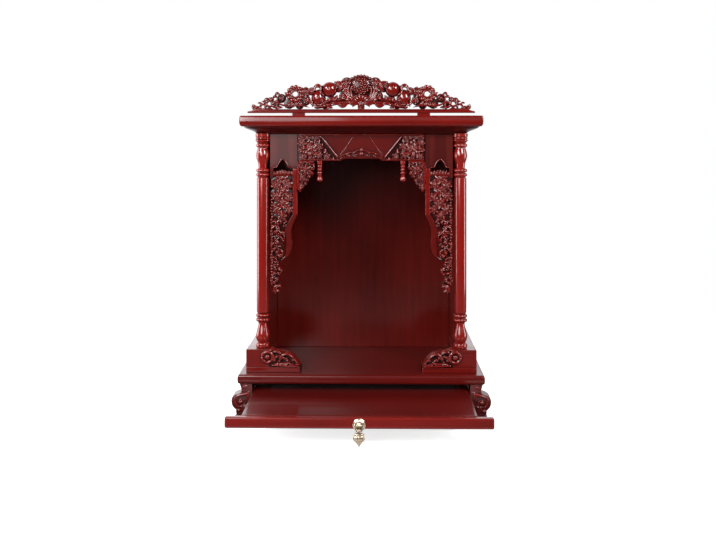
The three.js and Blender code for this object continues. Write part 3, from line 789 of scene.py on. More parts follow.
@dataclass
class Carcass:
    """The boards of the niche: deck, walls, back, cove moulding and cap."""

    palette: Palette
    corner: float = 2.0
    edge_reach: float = 5.0
    mitre: float = 10.0
    upper_mitre: float = 24.0
    flat: float = 3.0

    def plan(self, half: Array, front: Array, back: float) -> Array:
        """Rings of a board seen from above, with its front corners rounded.

        Args:
            half: Half the width, for each ring.
            front: The Y of the front edge, for each ring.
            back: The Y of the back edge, the same for all.

        Returns:
            Points as [ring, place, X or Y].
        """
        bend = np.linspace(0, math.pi / 2, 7)
        right = np.stack([np.sin(bend), 1 - np.cos(bend)], axis=-1) * self.corner
        right = np.concatenate([[[-self.flat, 0]], right, [[self.corner, self.corner + self.flat]]])
        x = half[:, None] - self.corner + right[:, 0]
        y = front[:, None] + right[:, 1]
        rear_x = half[:, None]
        rear_y = np.full_like(rear_x, back)
        xs = np.concatenate([x, rear_x, -rear_x, -x[:, ::-1]], axis=1)
        ys = np.concatenate([y, rear_y, rear_y, y[:, ::-1]], axis=1)
        return np.stack([xs, ys], axis=-1)

    def moulded(self, node: str, profile: Array, stain_and_shade: float = 0.0) -> Solid:
        """A board whose front and ends carry one edge profile.

        Args:
            node: The frame node that gives its width, front and back.
            profile: Inset from the edge and height, from the underside up.
            stain_and_shade: How far it is darkened, mostly as painted shade.

        Returns:
            The board.
        """
        low, high = limits(node)
        inset, height = profile[:, 0], profile[:, 1]
        plan = self.plan(high[0] - inset, low[1] + inset, high[1])
        solid = Solid()
        z = np.broadcast_to(height[:, None, None], (*plan.shape[:2], 1))
        solid.rings(np.concatenate([plan, z], axis=-1), stain_and_shade)
        return solid

    def round_edge(self, low: float, high: float, reach: float) -> Array:
        """A squared-off round edge: a superellipse of power 3, with flat margins above and below."""
        bend = np.linspace(0, math.pi, 23)
        inset = reach * (1 - np.sin(bend) ** (2 / 3))
        height = low + (1 - np.sign(np.cos(bend)) * np.abs(np.cos(bend)) ** (2 / 3)) / 2 * (high - low)
        flats = [[reach + 3, low]], [[reach + 3, high]]
        return np.concatenate([flats[0], np.stack([inset, height], axis=-1), flats[1]])

    def deck(self) -> None:
        """The deck board."""
        low, high = limits("deck_board")
        # Painted shade: the deck board is darkened as if lying in the niche's shade.
        solid = self.moulded("deck_board", self.round_edge(low[2], high[2], self.edge_reach), stain_and_shade=0.55)
        solid.build("deck_board_lacquered", self.palette.across, "cabinet", "deck_board")

    def cap(self) -> None:
        """The cap board, with a nose that swells just above its underside."""
        low, _ = limits("cap_board")
        nose = [(8.0, 0.0), (4.0, 0.0), (2.4, 0.8), (1.2, 2.4), (0.4, 4.6), (0.0, 7.0), (0.05, 9.5),
                (0.15, 12.0), (0.3, 14.8), (0.6, 16.6), (1.2, 17.8), (2.2, 18.4), (3.2, 18.5), (6.2, 18.5)]
        profile = np.array(nose) + [0, low[2]]
        solid = self.moulded("cap_board", profile)
        solid.build("cap_board_lacquered", self.palette.across, "cabinet", "cap_board")

    def moulding(self) -> None:
        """The ogee under the cap, carried round three sides and open at the back.

        At each front corner the plan turns on a quarter circle, by its sine and cosine.
        """
        low, high = limits("cap_moulding")
        inner = limits("side_wall_right")[0][0]
        screen = limits("side_fret_right")[0][1] + 24
        t = np.linspace(0, 1, 17)
        inset = 22 * (1 - t) + 1.6 * np.sin(2 * math.pi * t)
        height = low[2] + t * (high[2] - low[2])
        sides = np.concatenate([inset, [high[0] - inner, high[0] - inner]])
        fronts = np.concatenate([inset, [screen - low[1], screen - low[1]]])
        z = np.concatenate([height, [high[2], low[2]]])
        x, y = high[0] - sides, low[1] + fronts
        back = np.full_like(x, high[1])
        turn = np.linspace(0, math.pi / 2, 9)[:, None]
        radius = np.concatenate([self.mitre + t * (self.upper_mitre - self.mitre), [0.5, 0.5]])
        corner_x, corner_y = x - radius * (1 - np.sin(turn)), y + radius * (1 - np.cos(turn))
        corner_x = np.concatenate([corner_x[:1] - self.flat, corner_x, corner_x[-1:]])
        corner_y = np.concatenate([corner_y[:1], corner_y, corner_y[-1:] + self.flat])
        run_x = np.concatenate([-x[None], -corner_x[::-1], corner_x, x[None]])
        run_y = np.concatenate([back[None], corner_y[::-1], corner_y, back[None]])
        solid = Solid()
        # Painted shade: the downward-facing cove is darkened.
        solid.rings(np.stack([run_x, run_y, np.broadcast_to(z, run_x.shape)], axis=-1), stain_and_shade=0.8)
        solid.build("cap_moulding_lacquered", self.palette.across, "cabinet", "cap_moulding")

    def boards(self) -> None:
        """The side walls and the back panel, with eased edges."""
        for node in ("side_wall_right", "side_wall_left", "back_panel", "back_apron"):
            solid = Solid()
            solid.board(*limits(node), edge=0.8)
            solid.build(f"{node}_lacquered", self.palette.inner, "cabinet", node)

    def build(self) -> None:
        """Makes every board of the carcass."""
        self.deck()
        self.cap()
        self.moulding()
        self.boards()


# --------------------------------------------------------------------------------------- columns


def bulge(radius: float, neck: float, low: float, high: float) -> Array:
    """A turned bead's outline: half a circle's bulge between two heights."""
    bend = np.linspace(0, math.pi, 11)
    height = low + (1 - np.cos(bend)) / 2 * (high - low)
    return np.stack([neck + (radius - neck) * np.sin(bend), height], axis=-1)


def turned_pair(name: str, outline: Callable[[float], Array], sides: int, finish: Finish) -> None:
    """Turns a right-hand and a left-hand piece, each about the middle of its node.

    Args:
        name: The nodes' name without its side.
        outline: Radius against height, for a node of a given height.
        sides: Points round the piece.
        finish: The finish that both wear.
    """
    for side in ("right", "left"):
        low, high = limits(f"{name}_{side}")
        middle = (low + high) / 2
        solid = Solid()
        solid.turned(outline(high[2] - low[2]), (middle[0], middle[1], low[2]), sides)
        solid.build(f"{name}_{side}_turned", finish, "cabinet", f"{name}_{side}")


@dataclass
class Columns:
    """Two turned columns with beads, vases and a capital."""

    palette: Palette
    shaft: float = 10.5
    bead_height: float = 6.5

    def outline(self, top: float) -> Array:
        """The column's outline, radius against height above its plinth block."""
        low_vase = spline([(8.5, 9), (11, 15), (12, 21), (10.5, 29), (8, 38), (7.5, 43)], 26)
        high_vase = spline([(7.5, 311), (8.5, 319), (10.5, 325), (11.8, 331), (11, 338), (9, 344.5)], 26)
        shaft = np.array([(-1.2, 60.2), (-0.3, 61), (0, 63), (0, 291), (-0.3, 293), (-1.2, 293.8)])
        below, above = ([bulge(11.9, 8.6, low, low + self.bead_height) for low in pair]
                        for pair in ((45, 52.5), (295.5, 303)))
        flare = spline([(9.4, 353.6), (10.6, 355), (12.8, 357.4), (13, 359.2)], 8)
        return np.concatenate([
            [(0.5, 0), (10.5, 0)], bulge(12, 10.6, 0.3, 8), low_vase, *below, shaft + [self.shaft, 0], *above,
            high_vase, bulge(12, 9, 346, 353), flare, bulge(12.6, 10.6, 360, 364),
            [(13, 364.6), (13, top), (0.5, top)],
        ])

    def build(self) -> None:
        """Turns both columns."""
        turned_pair("column", self.outline, 56, self.palette.upright)


@dataclass
class Plinths:
    """The blocks under the columns: a volute and leaves in front, a plain skirting behind."""

    palette: Palette
    strip: float = 9.0
    plain: float = 157.0
    pocket: float = 8.5

    def top(self, x: Array, foot: float, top: float) -> Array:
        """The block's upper outline from its inner tip outwards."""
        knots = np.array([(104.5, 9), (106, 12), (110, 17), (113, 22), (119, 27), (125, 31), (132, 32.5),
                          (140, 34), (147, 34.5), (151, 37), (158, 39), (198, 39)])
        return foot + np.minimum(np.interp(x, knots[:, 0], knots[:, 1]), top - foot)

    def relief(self, front: float, foot: float) -> Carving:
        """The volute, the arched leaf that runs down to the inner tip, and what lies under it."""
        work = Carving(front, front + 16, foot)
        eye = (160.5, 26.0)
        # Painted shade: the sunk disc behind the volute is darkened.
        work.lobed(eye, 10.0, 0, 7.0, 0.0, fall=0.05, stain_and_shade=0.9)
        work.ring(eye, 8.8, 5.4, 0.6)
        work.bead(eye, 4.4)
        work.stroke(spline([(153.5, 33), (146, 36), (139, 33), (134, 29.5)], 30), 4.6, Taper.LEAF, 0.8, 0.6)
        arch = [(139, 21), (136, 28), (128, 31.5), (119, 27), (112, 19), (106.5, 11.5)]
        work.stroke(spline(arch, 44), 5.6, Taper.TAIL, 0.4, 0.8)
        work.stroke(spline([(154, 12.5), (132, 11), (107, 10.2)], 30), 3.0, sink=1.0)
        work.scroll([(139, 20), (134, 26)], (128.5, 23.5), 3.6, 1.1, -1, 2.8, 1.6)
        work.leaves(1.6, (170, 31, 162, 38.5, 4.6, 0.3), (158, 35, 149, 38.5, 4.4, -0.2))
        work.leaves(2.0, (143, 14, 121, 19, 8.0, 0.16))
        work.leaves(1.2, (151, 17, 139, 29, 6.5, -0.2))
        work.leaves(2.4, (150, 13.5, 140, 22, 5.5, 0.25))
        work.leaves(2.2, (124, 16, 113, 14, 5.0, 0.2))
        work.bead((116.5, 20.5), 1.9, 2.2)
        for x, z, radius in ((146, 26, 2.4), (133, 24.5, 2.0), (126, 20, 1.8), (148, 20.5, 1.9),
                             (110.5, 13.5, 1.5)):
            work.bead((x, z), radius, 1.8)
        return work

    def build(self) -> None:
        """Carves both blocks."""
        low, high = limits("plinth_block_right")
        front, foot, side, top = low[1], low[2], high[0], high[2]
        wall = limits("side_wall_right")
        back = wall[0][1]
        body = Carving(front, back)
        x = np.linspace(low[0], self.plain + 4, 60)
        # Painted shade: the pocket behind the carving is darkened, and the block's body and skirting more
        # lightly.
        body.panel(x, np.full_like(x, foot + 1), self.top(x, foot, top) - 1.5, front + self.pocket, 0.5, 0.45)
        body.board((self.plain, front + 4.5, foot), (side, back, top), 0.9, stain_and_shade=0.25)
        body.board((low[0], front + 3.2, foot), (side - 0.2, back - 0.3, foot + self.strip), 0.9, stain_and_shade=0.25)
        body.include(self.relief(front, foot))
        body.board((wall[1][0], front + 5.5, foot + 0.2), (side - 0.3, high[1], top - 0.3), 0.8)
        body.build_pair("plinth_block", "carved", self.palette.carved)


# --------------------------------------------------------------------------------------- carved screen


@dataclass
class Screen:
    """The carved screen between the columns: frets, lintel, corner brackets and pendants."""

    palette: Palette
    strip: float = 8.0

    def fret_board(self, carving: Carving, inner: float, outer: float, top: float) -> None:
        """The fret's plain wood: a panel over an arched window, and the inner edge's swinging strip."""
        front = carving.front
        rise = np.array([(120, 414), (120, 421), (126, 422.5), (128, 427), (131.5, 432), (136, 436),
                         (140.5, 432), (144, 427), (146, 422.5), (152, 421), (152, 404)])
        x = np.concatenate([[inner, inner + self.strip], rise[:, 0], [outer]])
        under = np.concatenate([[414, 414], rise[:, 1], [404]])
        # The plain panel is darkened: a dark stain, and painted shade under the cap.
        carving.panel(x, under, np.full_like(x, top), front + 4, 0.5, stain_and_shade=0.9)
        carving.stroke(spline(rise[1:-1] + [0, 1.2], 60), 2.0, sink=2.8)
        carving.board((inner, front + 2.6, 340), (inner + self.strip, carving.back, 421), 1.2)
        edge = spline([(inner, 342), (114, 334), (117.5, 326), (121, 314), (120.8, 302), (119.4, 290),
                       (122.5, 277), (127.5, 269), (137, 263)], 60)
        wide = np.interp(edge[:, 1], [262, 280, 300, 320, 342], [2, 9, 10, 11, 8])
        # Painted shade: the swinging strip is darkened.
        carving.between(edge, edge + np.stack([wide, 0 * wide], axis=-1), front + 3.4, 1.0, stain_and_shade=0.55)

    def fret(self) -> Carving:
        """The right-hand fret: a hanging of flowers and scrolls that thins towards its foot."""
        low, high = limits("side_fret_right")
        carving = Carving(low[1], high[1])
        self.fret_board(carving, low[0], high[0], high[2])
        carving.ground([
            (136, 406, 12), (125, 399, 9), (148, 397, 9.4), (134, 387, 12), (124, 376, 8.5), (147, 376, 10.4),
            (134, 365, 12), (124, 353, 9), (145, 353, 11.4), (134, 342, 11), (147, 333, 9.5), (136, 325, 9),
            (147, 315, 9), (139, 304, 8), (149, 296, 8), (142, 285, 8), (150, 275, 7), (145, 264, 7),
            (150, 253, 6.4), (146, 242, 6.2), (149, 231, 5.8), (145, 221, 5.2)], 7.5)
        for x, z, radius, petals in (
                (137, 404, 10.5, 8), (126, 393, 7.5, 6), (148, 392, 8.0, 6), (135, 382, 10.0, 7),
                (147.5, 373, 8.5, 7), (124.5, 371, 7.2, 6), (135, 361, 9.5, 8), (147, 351, 8.5, 7),
                (125, 350, 7.0, 6), (136.5, 340, 8.0, 7)):
            carving.posy((x, z), radius, petals, turn=z * 7 + x)
        for k, place in enumerate(np.linspace(120.5, 151, 7)):
            carving.leaf((place, 407), (place + 1.5, 416 + 2.5 * math.sin(k * 0.52)), 5.0, 0.2, 1.6)
        stem = spline([(139, 334), (149, 322), (139, 307), (150, 292), (142, 278), (151, 262), (144, 246),
                       (150, 230), (146, 216)], 120)
        carving.sprig(stem, 3.8, 8.5, 19, 0.2)
        for lead, centre, radius, hand in (
                ([(136, 333), (129, 329)], (131, 323), 4.6, -1),
                ([(148, 322), (155, 317)], (150, 312), 4.4, -1),
                ([(140, 310), (133, 305)], (136, 299), 4.2, 1),
                ([(150, 293), (155.5, 287)], (151, 282), 4.0, -1),
                ([(142, 282), (136, 277)], (139, 271), 4.0, 1),
                ([(151, 264), (155, 259)], (151, 254.5), 3.6, -1),
                ([(144, 250), (139.5, 245)], (142.5, 240), 3.6, 1),
                ([(150, 234), (154, 229)], (150, 224.5), 3.2, -1)):
            carving.scroll(lead, centre, radius, 1.1, hand, 2.8, 0.4)
        for height in np.arange(222, 372, 5.0):
            carving.bead((154.6 + 0.8 * math.sin(height * 0.31), height), 1.9, 1.0)
        carving.leaves(0.4, (148, 221, 148, low[2], 7.5, 0.06))
        carving.leaves(1.2, (146, 220, 141, 208, 4.5, 0.3), (150, 220, 155, 208, 4.5, -0.3))
        return carving

    def bracket(self) -> Carving:
        """The right-hand corner bracket, stepping down the fret's inner edge."""
        low, high = limits("bracket_right")
        carving = Carving(low[1], high[1])
        edge = high[0]
        carving.ground([(103, 424, 8.5), (90, 424, 8.5), (103, 411, 8.5), (93, 410, 7), (104, 398, 7),
                        (98, 398, 5), (105, 388, 5)], 6.5)
        carving.board((edge - 3.4, low[1] + 2.4, 385), (edge, high[1], high[2]), 0.9)
        carving.board((low[0] + 3, low[1] + 2.4, high[2] - 3.4), (edge, high[1], high[2]), 0.9)
        for x, z, radius, petals, sink, turn in ((95, 419.5, 8.8, 7, 0.0, 10), (101.5, 405, 7.4, 6, 0.0, 40),
                                                 (104, 391.5, 5.6, 6, 0.4, 15), (105, 425, 5.6, 5, 0.6, 25)):
            carving.posy((x, z), radius, petals, sink, turn)
        carving.scroll([(90, 429), (84, 427)], (84.5, 421.5), 4.2, 1.1, 1, 3.0, 0.6)
        carving.scroll([(100, 412), (92, 411)], (90.5, 407.5), 4.0, 1.1, 1, 2.8, 0.6)
        carving.scroll([(104, 399), (97, 399.5)], (96.5, 395.5), 3.2, 1.1, 1, 2.4, 0.6)
        carving.leaves(0.8, (88, 414, 84.5, 408.5, 4.6, -0.3), (104, 415, 108, 409, 4.6, 0.3),
                       (96, 402, 92, 398, 4.4, -0.3), (105, 390, 105, low[2], 5.6, 0.1),
                       (82, 430, 80.5, 424, 3.6, 0.3), (88, 430, 97, 430.5, 4.0, 0.15),
                       (98, 429, 106, 431, 4.0, 0.15), (84, 416, 88, 411, 3.6, 0.2))
        return carving

    def lintel_half(self, front: float, back: float, bottom: float, top: float) -> Carving:
        """The right half of the lintel's ornament; heights count from its underside."""
        work = Carving(front, back, bottom)
        work.stroke(spline([(40, 5.5), (70.5, top - 3.5)], 30), 2.8)
        work.stroke(spline([(12, top - 3), (32, 16), (37, 10)], 24), 0.9, sink=3.0)
        for x, radius in ((75, 4.8), (84, 5.2), (94, 5.6), (104, 5.4)):
            work.posy((x, top - 5.6), radius, 6, 1.0, 8 * x)
        for x, z, radius, petals, sink in (
                (88, 21, 12.5, 8, 0.0), (72, 25, 6.6, 6, 0.6), (74, 10, 6.8, 6, 0.6), (59, 7.5, 5.8, 6, 1.0),
                (101, 8, 6.6, 6, 0.6), (103, 31, 6.6, 6, 0.6), (79, 34, 4.4, 5, 1.2), (105, 20, 4.4, 5, 1.2),
                (88, 5, 4.4, 5, 1.2)):
            work.posy((x, z), radius, petals, sink, x * 9)
        work.leaves(0.8, (80, 14, 68, 18, 5, 0.3), (66, 13, 62, 22, 5, 0.2), (53, 3, 47, 7, 4, 0.3),
                    (94, 33, 90, 39, 4, 0.2), (97, 14, 108, 15, 4.6, 0.3), (76, 33, 72, 38, 4, 0.3),
                    (94, 5, 96, 12, 4, -0.2), (82, 8, 80, 1.5, 4, 0.2))
        work.scroll([(1, 19), (7, 18), (13, 14)], (10, 10), 4.4, 1.2, -1, 2.8, 0.6)
        work.scroll([(12, 15), (20, 14)], (22, 9), 4.2, 1.2, -1, 2.6, 1.0)
        work.scroll([(24, 13), (33, 10)], (34, 5.5), 3.4, 1.1, -1, 2.4, 1.4)
        work.stroke(spline([(42, 1.8), (76, 1.8), (108.5, 1.8)], 30), 2.4, sink=1.0)
        work.stroke(spline([(2, top - 1.6), (50, top - 1.6), (108.5, top - 1.6)], 30), 2.2, sink=1.6)
        return work

    def lintel(self) -> Carving:
        """The lintel: plain field between slanting beads, floral corners, and a cloud at the middle."""
        low, high = limits("lintel")
        half, top = high[0], high[2] - low[2]
        carving = Carving(low[1], high[1], low[2])
        x = np.linspace(-half, half, 111)
        wave = np.clip((np.abs(x) - 30) / 6, 0, 1)
        lobe = np.exp(-(((np.abs(x) - 39) / 5) ** 2)) * 1.4
        under = 3.4 * (1 - wave) + 0.6 - lobe * 0.4
        # Painted shade: the lintel's recessed field and the band in front of it are darkened.
        carving.panel(x, under, np.full_like(x, top), low[1] + 8, 0.6, stain_and_shade=0.8)
        foot = np.linspace(-41, 41, 61)
        low_edge = np.stack([foot, np.interp(foot, x, under)], axis=-1)
        high_edge = np.stack([foot * 71 / 41, np.full_like(foot, top)], axis=-1)
        carving.between(low_edge, high_edge, low[1] + 3.4, 0.6, stain_and_shade=0.6)
        for side in (False, True):
            carving.include(self.lintel_half(low[1], high[1], low[2], top), mirror=side)
        carving.bead((0, 12), 3.4, 0.4)
        carving.leaf((0, 15), (0, 23), 5.5, 0.0, 0.8)
        return carving

    @staticmethod
    def pendant(top: float) -> Array:
        """A pendant's outline: rings above a flared bud."""
        beads = [bulge(4.6, 3.0, 13 + 5.5 * k, 18 + 5.5 * k) for k in range(3)]
        bud = spline([(0.4, 0.3), (3.4, 0.5), (5.4, 3), (4.9, 7), (3.2, 11), (2.6, 12.6)], 22)
        return np.concatenate([bud, *beads, [(3.4, 29.6), (4.6, 31), (4.6, top), (0.4, top)]])

    def build(self) -> None:
        """Carves the whole screen."""
        self.fret().build_pair("side_fret", "carved", self.palette.carved)
        self.bracket().build_pair("bracket", "carved", self.palette.carved)
        self.lintel().build("lintel_carved", self.palette.carved, "cabinet", "lintel")
        turned_pair("pendant", self.pendant, 28, self.palette.upright)


# --------------------------------------------------------------------------------------- crest


@dataclass
class Crest:
    """The openwork crest: a peony between peaches, scrolls running out to the tips, a rail on tenons."""

    palette: Palette
    rail: float = 6.5
    tenon: float = 4.5
    tenon_place: float = 106.5
    tenon_width: float = 22.0

    def peony(self, front: float, back: float, top: float) -> Carving:
        """The flower at the middle: a dotted head, crescent petals round it, and buds along its top.

        Heights count down from the crest's top.
        """
        work = Carving(front, back, top)
        heart = (0.0, -20.0)
        # Painted shade: the ground, the small lobes round the head and the dotted head under its beads are
        # darkened.
        work.lobed((0, -25), 24.0, 0, 7.0, 0.0, fall=0.05, stain_and_shade=0.7)
        for k in range(15):
            angle = math.radians(90 + (k - 7) * 12.5)
            work.lobed((25.2 * math.cos(angle), -24.2 + 21.4 * math.sin(angle)), 2.7, 0, 4.6, 0.0, stain_and_shade=0.45)
        work.lobed(heart, 17.5, 0, 1.0, 0.0, stretch=0.93, fall=0.30, stain_and_shade=0.8)
        work.seeds(heart, 17.8, 1.45, 1.0, 5.2, -36)
        for side in (-1, 1):
            for reach, rise, width in ((26.5, 12, 5.2), (21.8, 15, 4.6), (17.2, 19, 4.0)):
                path = [(side * 5, -47), (side * reach * 0.72, -42.5), (side * reach, -31),
                        (side * (reach - 0.6), -22), (side * (reach - 5), -rise)]
                work.stroke(spline(path, 36), width, Taper.LEAF, 0.3 + reach * 0.06, 0.7)
            for reach, height in ((4, 13), (10.5, 11.5), (16, 8.5)):
                base, tip = (side * reach * 0.3, -49), (side * reach, -48 + height)
                work.leaf(base, tip, 6.4, 0.12 * side, 0.4, Taper.PETAL)
            work.leaf((side * 3, -47), (side * 25, -44), 7.5, -0.2 * side, 1.0)
            work.leaf((side * 2, -49), (side * 15, -56), 6.5, 0.2 * side, 1.4)
        work.lobed((0, -51), 6.2, 6, 0.8, 0.6, 30)
        work.bead((0, -51), 2.2, 0.2)
        return work

    def fruits(self, work: Carving) -> None:
        """The peaches and the leaves round them."""
        work.fruit((54, 33.5), 13.2, 72)
        work.fruit((73.5, 18.5), 11.6, 96, 0.6, 0.32)
        work.leaves(1.4, (38, 28, 44, 46, 7, 0.35), (30, 34, 46, 47, 8, 0.2), (27, 24, 37, 41, 7, 0.3),
                    (62, 23, 66, 41, 5, -0.3), (66, 36, 82, 35, 7, 0.3), (61, 18, 66, 8, 7, 0.3),
                    (83, 24, 93, 34, 7, 0.2), (82, 12, 92, 20, 7, -0.25), (70, 7, 84, 4, 6, 0.3),
                    (40, 24, 54, 17, 7, -0.25), (44, 16, 58, 10, 7, 0.3), (20, 12, 36, 18, 8, 0.25),
                    (22, 10, 42, 9, 7, -0.2), (36, 8, 54, 5, 6.5, 0.2), (56, 8, 66, 1, 6, 0.25),
                    (48, 2, 60, 0, 5, 0.2), (86, 31, 80, 40, 6, 0.3), (84, 16, 78, 7, 6, 0.3))

    def wheel(self, work: Carving, x: float, z: float) -> None:
        """The beaded ring with an eye through it."""
        work.ring((x, z), 9.4, 10.4, 7.0, 0.7)
        work.ring((x, z), 6.4, 3.6, 0.8)
        for angle in np.arange(11) * 2 * math.pi / 11:
            work.lobed((x + 11.6 * math.cos(angle), z + 11.6 * math.sin(angle)), 3.9, 0, 1.6, 0.0)
            work.bead((x + 9 * math.cos(angle + 0.28), z + 9 * math.sin(angle + 0.28)), 1.2, 1.2)

    def half(self, front: float, back: float, base: float) -> Carving:
        """Everything to the right of the peony; heights count from the top of the rail."""
        work = Carving(front, back, base)
        # Painted shade: the ground and the two sunk stems are darkened.
        work.ground([(24, 43.5, 11), (39, 38.5, 10), (27, 21.5, 11), (51, 15.5, 8), (70, 18.5, 10),
                     (62, 7.5, 7.5), (84, 30.5, 7), (96, 15.5, 10), (94, 30.5, 7), (105, 6.5, 7),
                     (123, 9.5, 9), (136, 18.5, 8), (146, 7.5, 6.5)], 7.0, 0.7)
        work.stroke(spline([(6, 15), (24, 11), (44, 10), (60, 6), (80, 3)], 32), 6.5, sink=2.6, stain_and_shade=0.2)
        work.stroke(spline([(28, 19), (40, 16), (58, 13), (72, 5)], 24), 6.0, sink=3.2, stain_and_shade=0.3)
        work.stroke(spline([(88, 3), (100, 6), (116, 6), (130, 2)], 30), 3.6, Taper.LEAF, 1.0)
        self.fruits(work)
        self.wheel(work, 112.5, 26)
        for x, z, radius, petals, sink, turn in (
                (25.5, 42.5, 9.0, 6, 1.0, 178.5), (39, 41, 6.4, 6, 1.6, 273), (29.5, 22, 6.6, 6, 1.8, 206.5),
                (85, 30, 6.0, 6, 1.6, 595), (96, 29, 8.6, 7, 0.6, 20), (93, 15, 6.0, 6, 1.4, 50)):
            work.posy((x, z), radius, petals, sink, turn)
        for k in range(4):
            work.leaf((104 + 6 * k, 3), (107 + 7 * k, 14 - k), 7.0, 0.2, 1.0)
        work.scroll([(122, 6), (134, 7), (143, 12)], (136.5, 18.5), 7.0, 1.7, 1, 4.0, 0.8)
        work.leaves(2.0, (128, 20, 131, 29, 5.5, 0.3), (139, 26, 147, 24, 4.6, 0.3))
        work.leaves(1.6, (143, 20, 151, 19, 5.0, 0.3))
        for x, z, radius, width, sink in ((147, 7, 4.0, 3.6, 1.6), (157, 9.5, 4.8, 3.8, 1.4),
                                          (168, 4, 4.4, 3.4, 1.8), (176.5, 1.5, 2.9, 2.8, 2.2)):
            work.ring((x, z), radius, width, sink)
        work.leaves(1.8, (150, 13, 158, 19, 5.5, 0.25), (156, 14, 166, 15, 5.0, 0.3),
                    (163, 8, 170, 13, 4.6, 0.3), (170, 7, 177, 10, 4.2, 0.3), (140, 8, 148, 14, 5.0, 0.25),
                    (176, 3, 182, 8, 4.4, -0.25), (180, -1, 184.5, 9, 4.6, -0.25),
                    (174, -1, 186, 1, 3.6, 0.15), (150, 0, 164, -1, 4.0, 0.1), (134, 3, 146, 0, 4.6, 0.15))
        return work

    def build(self) -> None:
        """Carves the crest in one piece."""
        low, high = limits("crest")
        front, back = low[1], high[1] - 2
        carving = Carving(front, back)
        under, end = low[2] + self.tenon, high[0]
        x = np.array([-end, -end + 8, -end + 12, end - 12, end - 8, end])
        height = under + np.array([0.4, 0.72, 1, 1, 0.72, 0.4]) * self.rail
        carving.panel(x, np.full_like(x, under), height, front + 1.4, 1.0)
        run = np.linspace(14 - end, end - 14, 36)
        carving.stroke(np.stack([run, np.full_like(run, under + self.rail - 1.6)], axis=-1), 2.6, sink=0.6)
        for side in (-1, 1):
            middle = side * self.tenon_place
            carving.board((middle - self.tenon_width / 2, front + 3, low[2]),
                          (middle + self.tenon_width / 2, high[1] - 3, under + 1), 0.5)
        carving.stroke(spline([(0, under + 4), (0, under + 14), (0, under + 26)], 8), 12, sink=3.4)
        carving.include(self.peony(front, back, high[2]))
        half = self.half(front, back, under + self.rail)
        carving.include(half)
        carving.include(half, mirror=True)
        carving.build("crest_carved", self.palette.carved, "cabinet", "crest")


# --------------------------------------------------------------------------------------- feet and tray


@dataclass
class Feet:
    """Four scroll feet: carved in front, plain behind."""

    palette: Palette
    relief: float = 2.5

    def outer(self, height: Array) -> Array:
        """The outer outline: neck, swelling knee, drawn-in ankle and flared toe, against height."""
        knots = spline([(0, 213.6), (2, 214), (5, 210.6), (8, 209.6), (12, 213.5), (18, 218.6), (25, 220.4),
                        (31, 219.8), (35.5, 216.5), (38, 210.5), (40, 205.5), (44, 203.4), (49, 204.4),
                        (56, 206.5)], 90)
        return np.interp(height, knots[:, 0], knots[:, 1])

    def block(self, node: str, relief: float) -> Solid:
        """One foot's body: upright slices from front to back, rounded off where they meet the faces."""
        low, high = limits(node)
        z = np.concatenate([[0.0], np.linspace(0.6, 55.4, 64), [56.0]])
        ends = np.array([0.0, 0.6, 2.0, 5.0])
        depth = np.concatenate([low[1] + relief + ends, (high[1] - ends)[::-1]])
        ease = np.array([1.6, 0.6, 0.1, 0.0, 0.0, 0.1, 0.6, 1.6])
        outer = self.outer(z)[:, None] - ease
        inner = np.broadcast_to(low[0] + ease * 0.4, outer.shape)
        x = np.concatenate([outer, inner[:, ::-1]], axis=1)
        y = np.broadcast_to(np.concatenate([depth, depth[::-1]]), x.shape)
        solid = Solid()
        # Painted shade: the foot block is darkened all over, standing in for the shade in its concave neck.
        solid.rings(np.stack([x, y, np.broadcast_to(z[:, None], x.shape)], axis=-1), stain_and_shade=0.75)
        return solid

    def build(self) -> None:
        """Makes all four feet."""
        low, _ = limits("foot_front_right")
        eye = (204.5, 25.0)
        work = Carving(low[1], low[1] + 12)
        # Painted shade: the sunk disc behind the scroll is darkened.
        work.lobed(eye, 11.0, 0, 2.2, 0.0, fall=0.02, stain_and_shade=0.9)
        work.scroll([(190, 40), (197, 38.5), (206, 36.5), (213, 33)], eye, 9.8, 1.45, -1, 5.0)
        work.bead(eye, 3.4, 0.2)
        work.leaves(0.4, (190, 45, 189.5, 24, 7, 0.12), (191, 21, 201, 8, 7, 0.3))
        work.leaves(0.6, (202, 13, 211.5, 4.5, 5.5, 0.3), (189, 19, 189, 3, 5.5, -0.1))
        work.leaves(1.4, (190, 55, 200, 44, 5.0, 0.2))
        front = self.block("foot_front_right", self.relief)
        front.include(work)
        front.build_pair("foot_front", "carved", self.palette.carved)
        self.block("foot_back_right", 0.0).build_pair("foot_back", "shaped", self.palette.upright)


@dataclass
class Tray:
    """The sliding tray: plate, front rail and the runners that carry it."""

    palette: Palette

    def build(self) -> None:
        """Makes the plate and the rail, and lacquers the runners."""
        plate, rail = Solid(), Solid()
        # Painted shade: the tray plate is darkened as if shaded by the deck.
        plate.board(*limits("tray_plate"), edge=2.2, stain_and_shade=0.65)
        plate.build("tray_plate_lacquered", self.palette.across, "tray", "tray_plate")
        rail.board(*limits("tray_rail"), edge=2.6, steps=6)
        rail.build("tray_rail_lacquered", self.palette.across, "tray", "tray_rail")
        for node in ("tray_runner_right", "tray_runner_left"):
            runner = frame["nodes"][node]
            runner.data.materials.clear()
            runner.data.materials.append(self.palette.backwards.material())


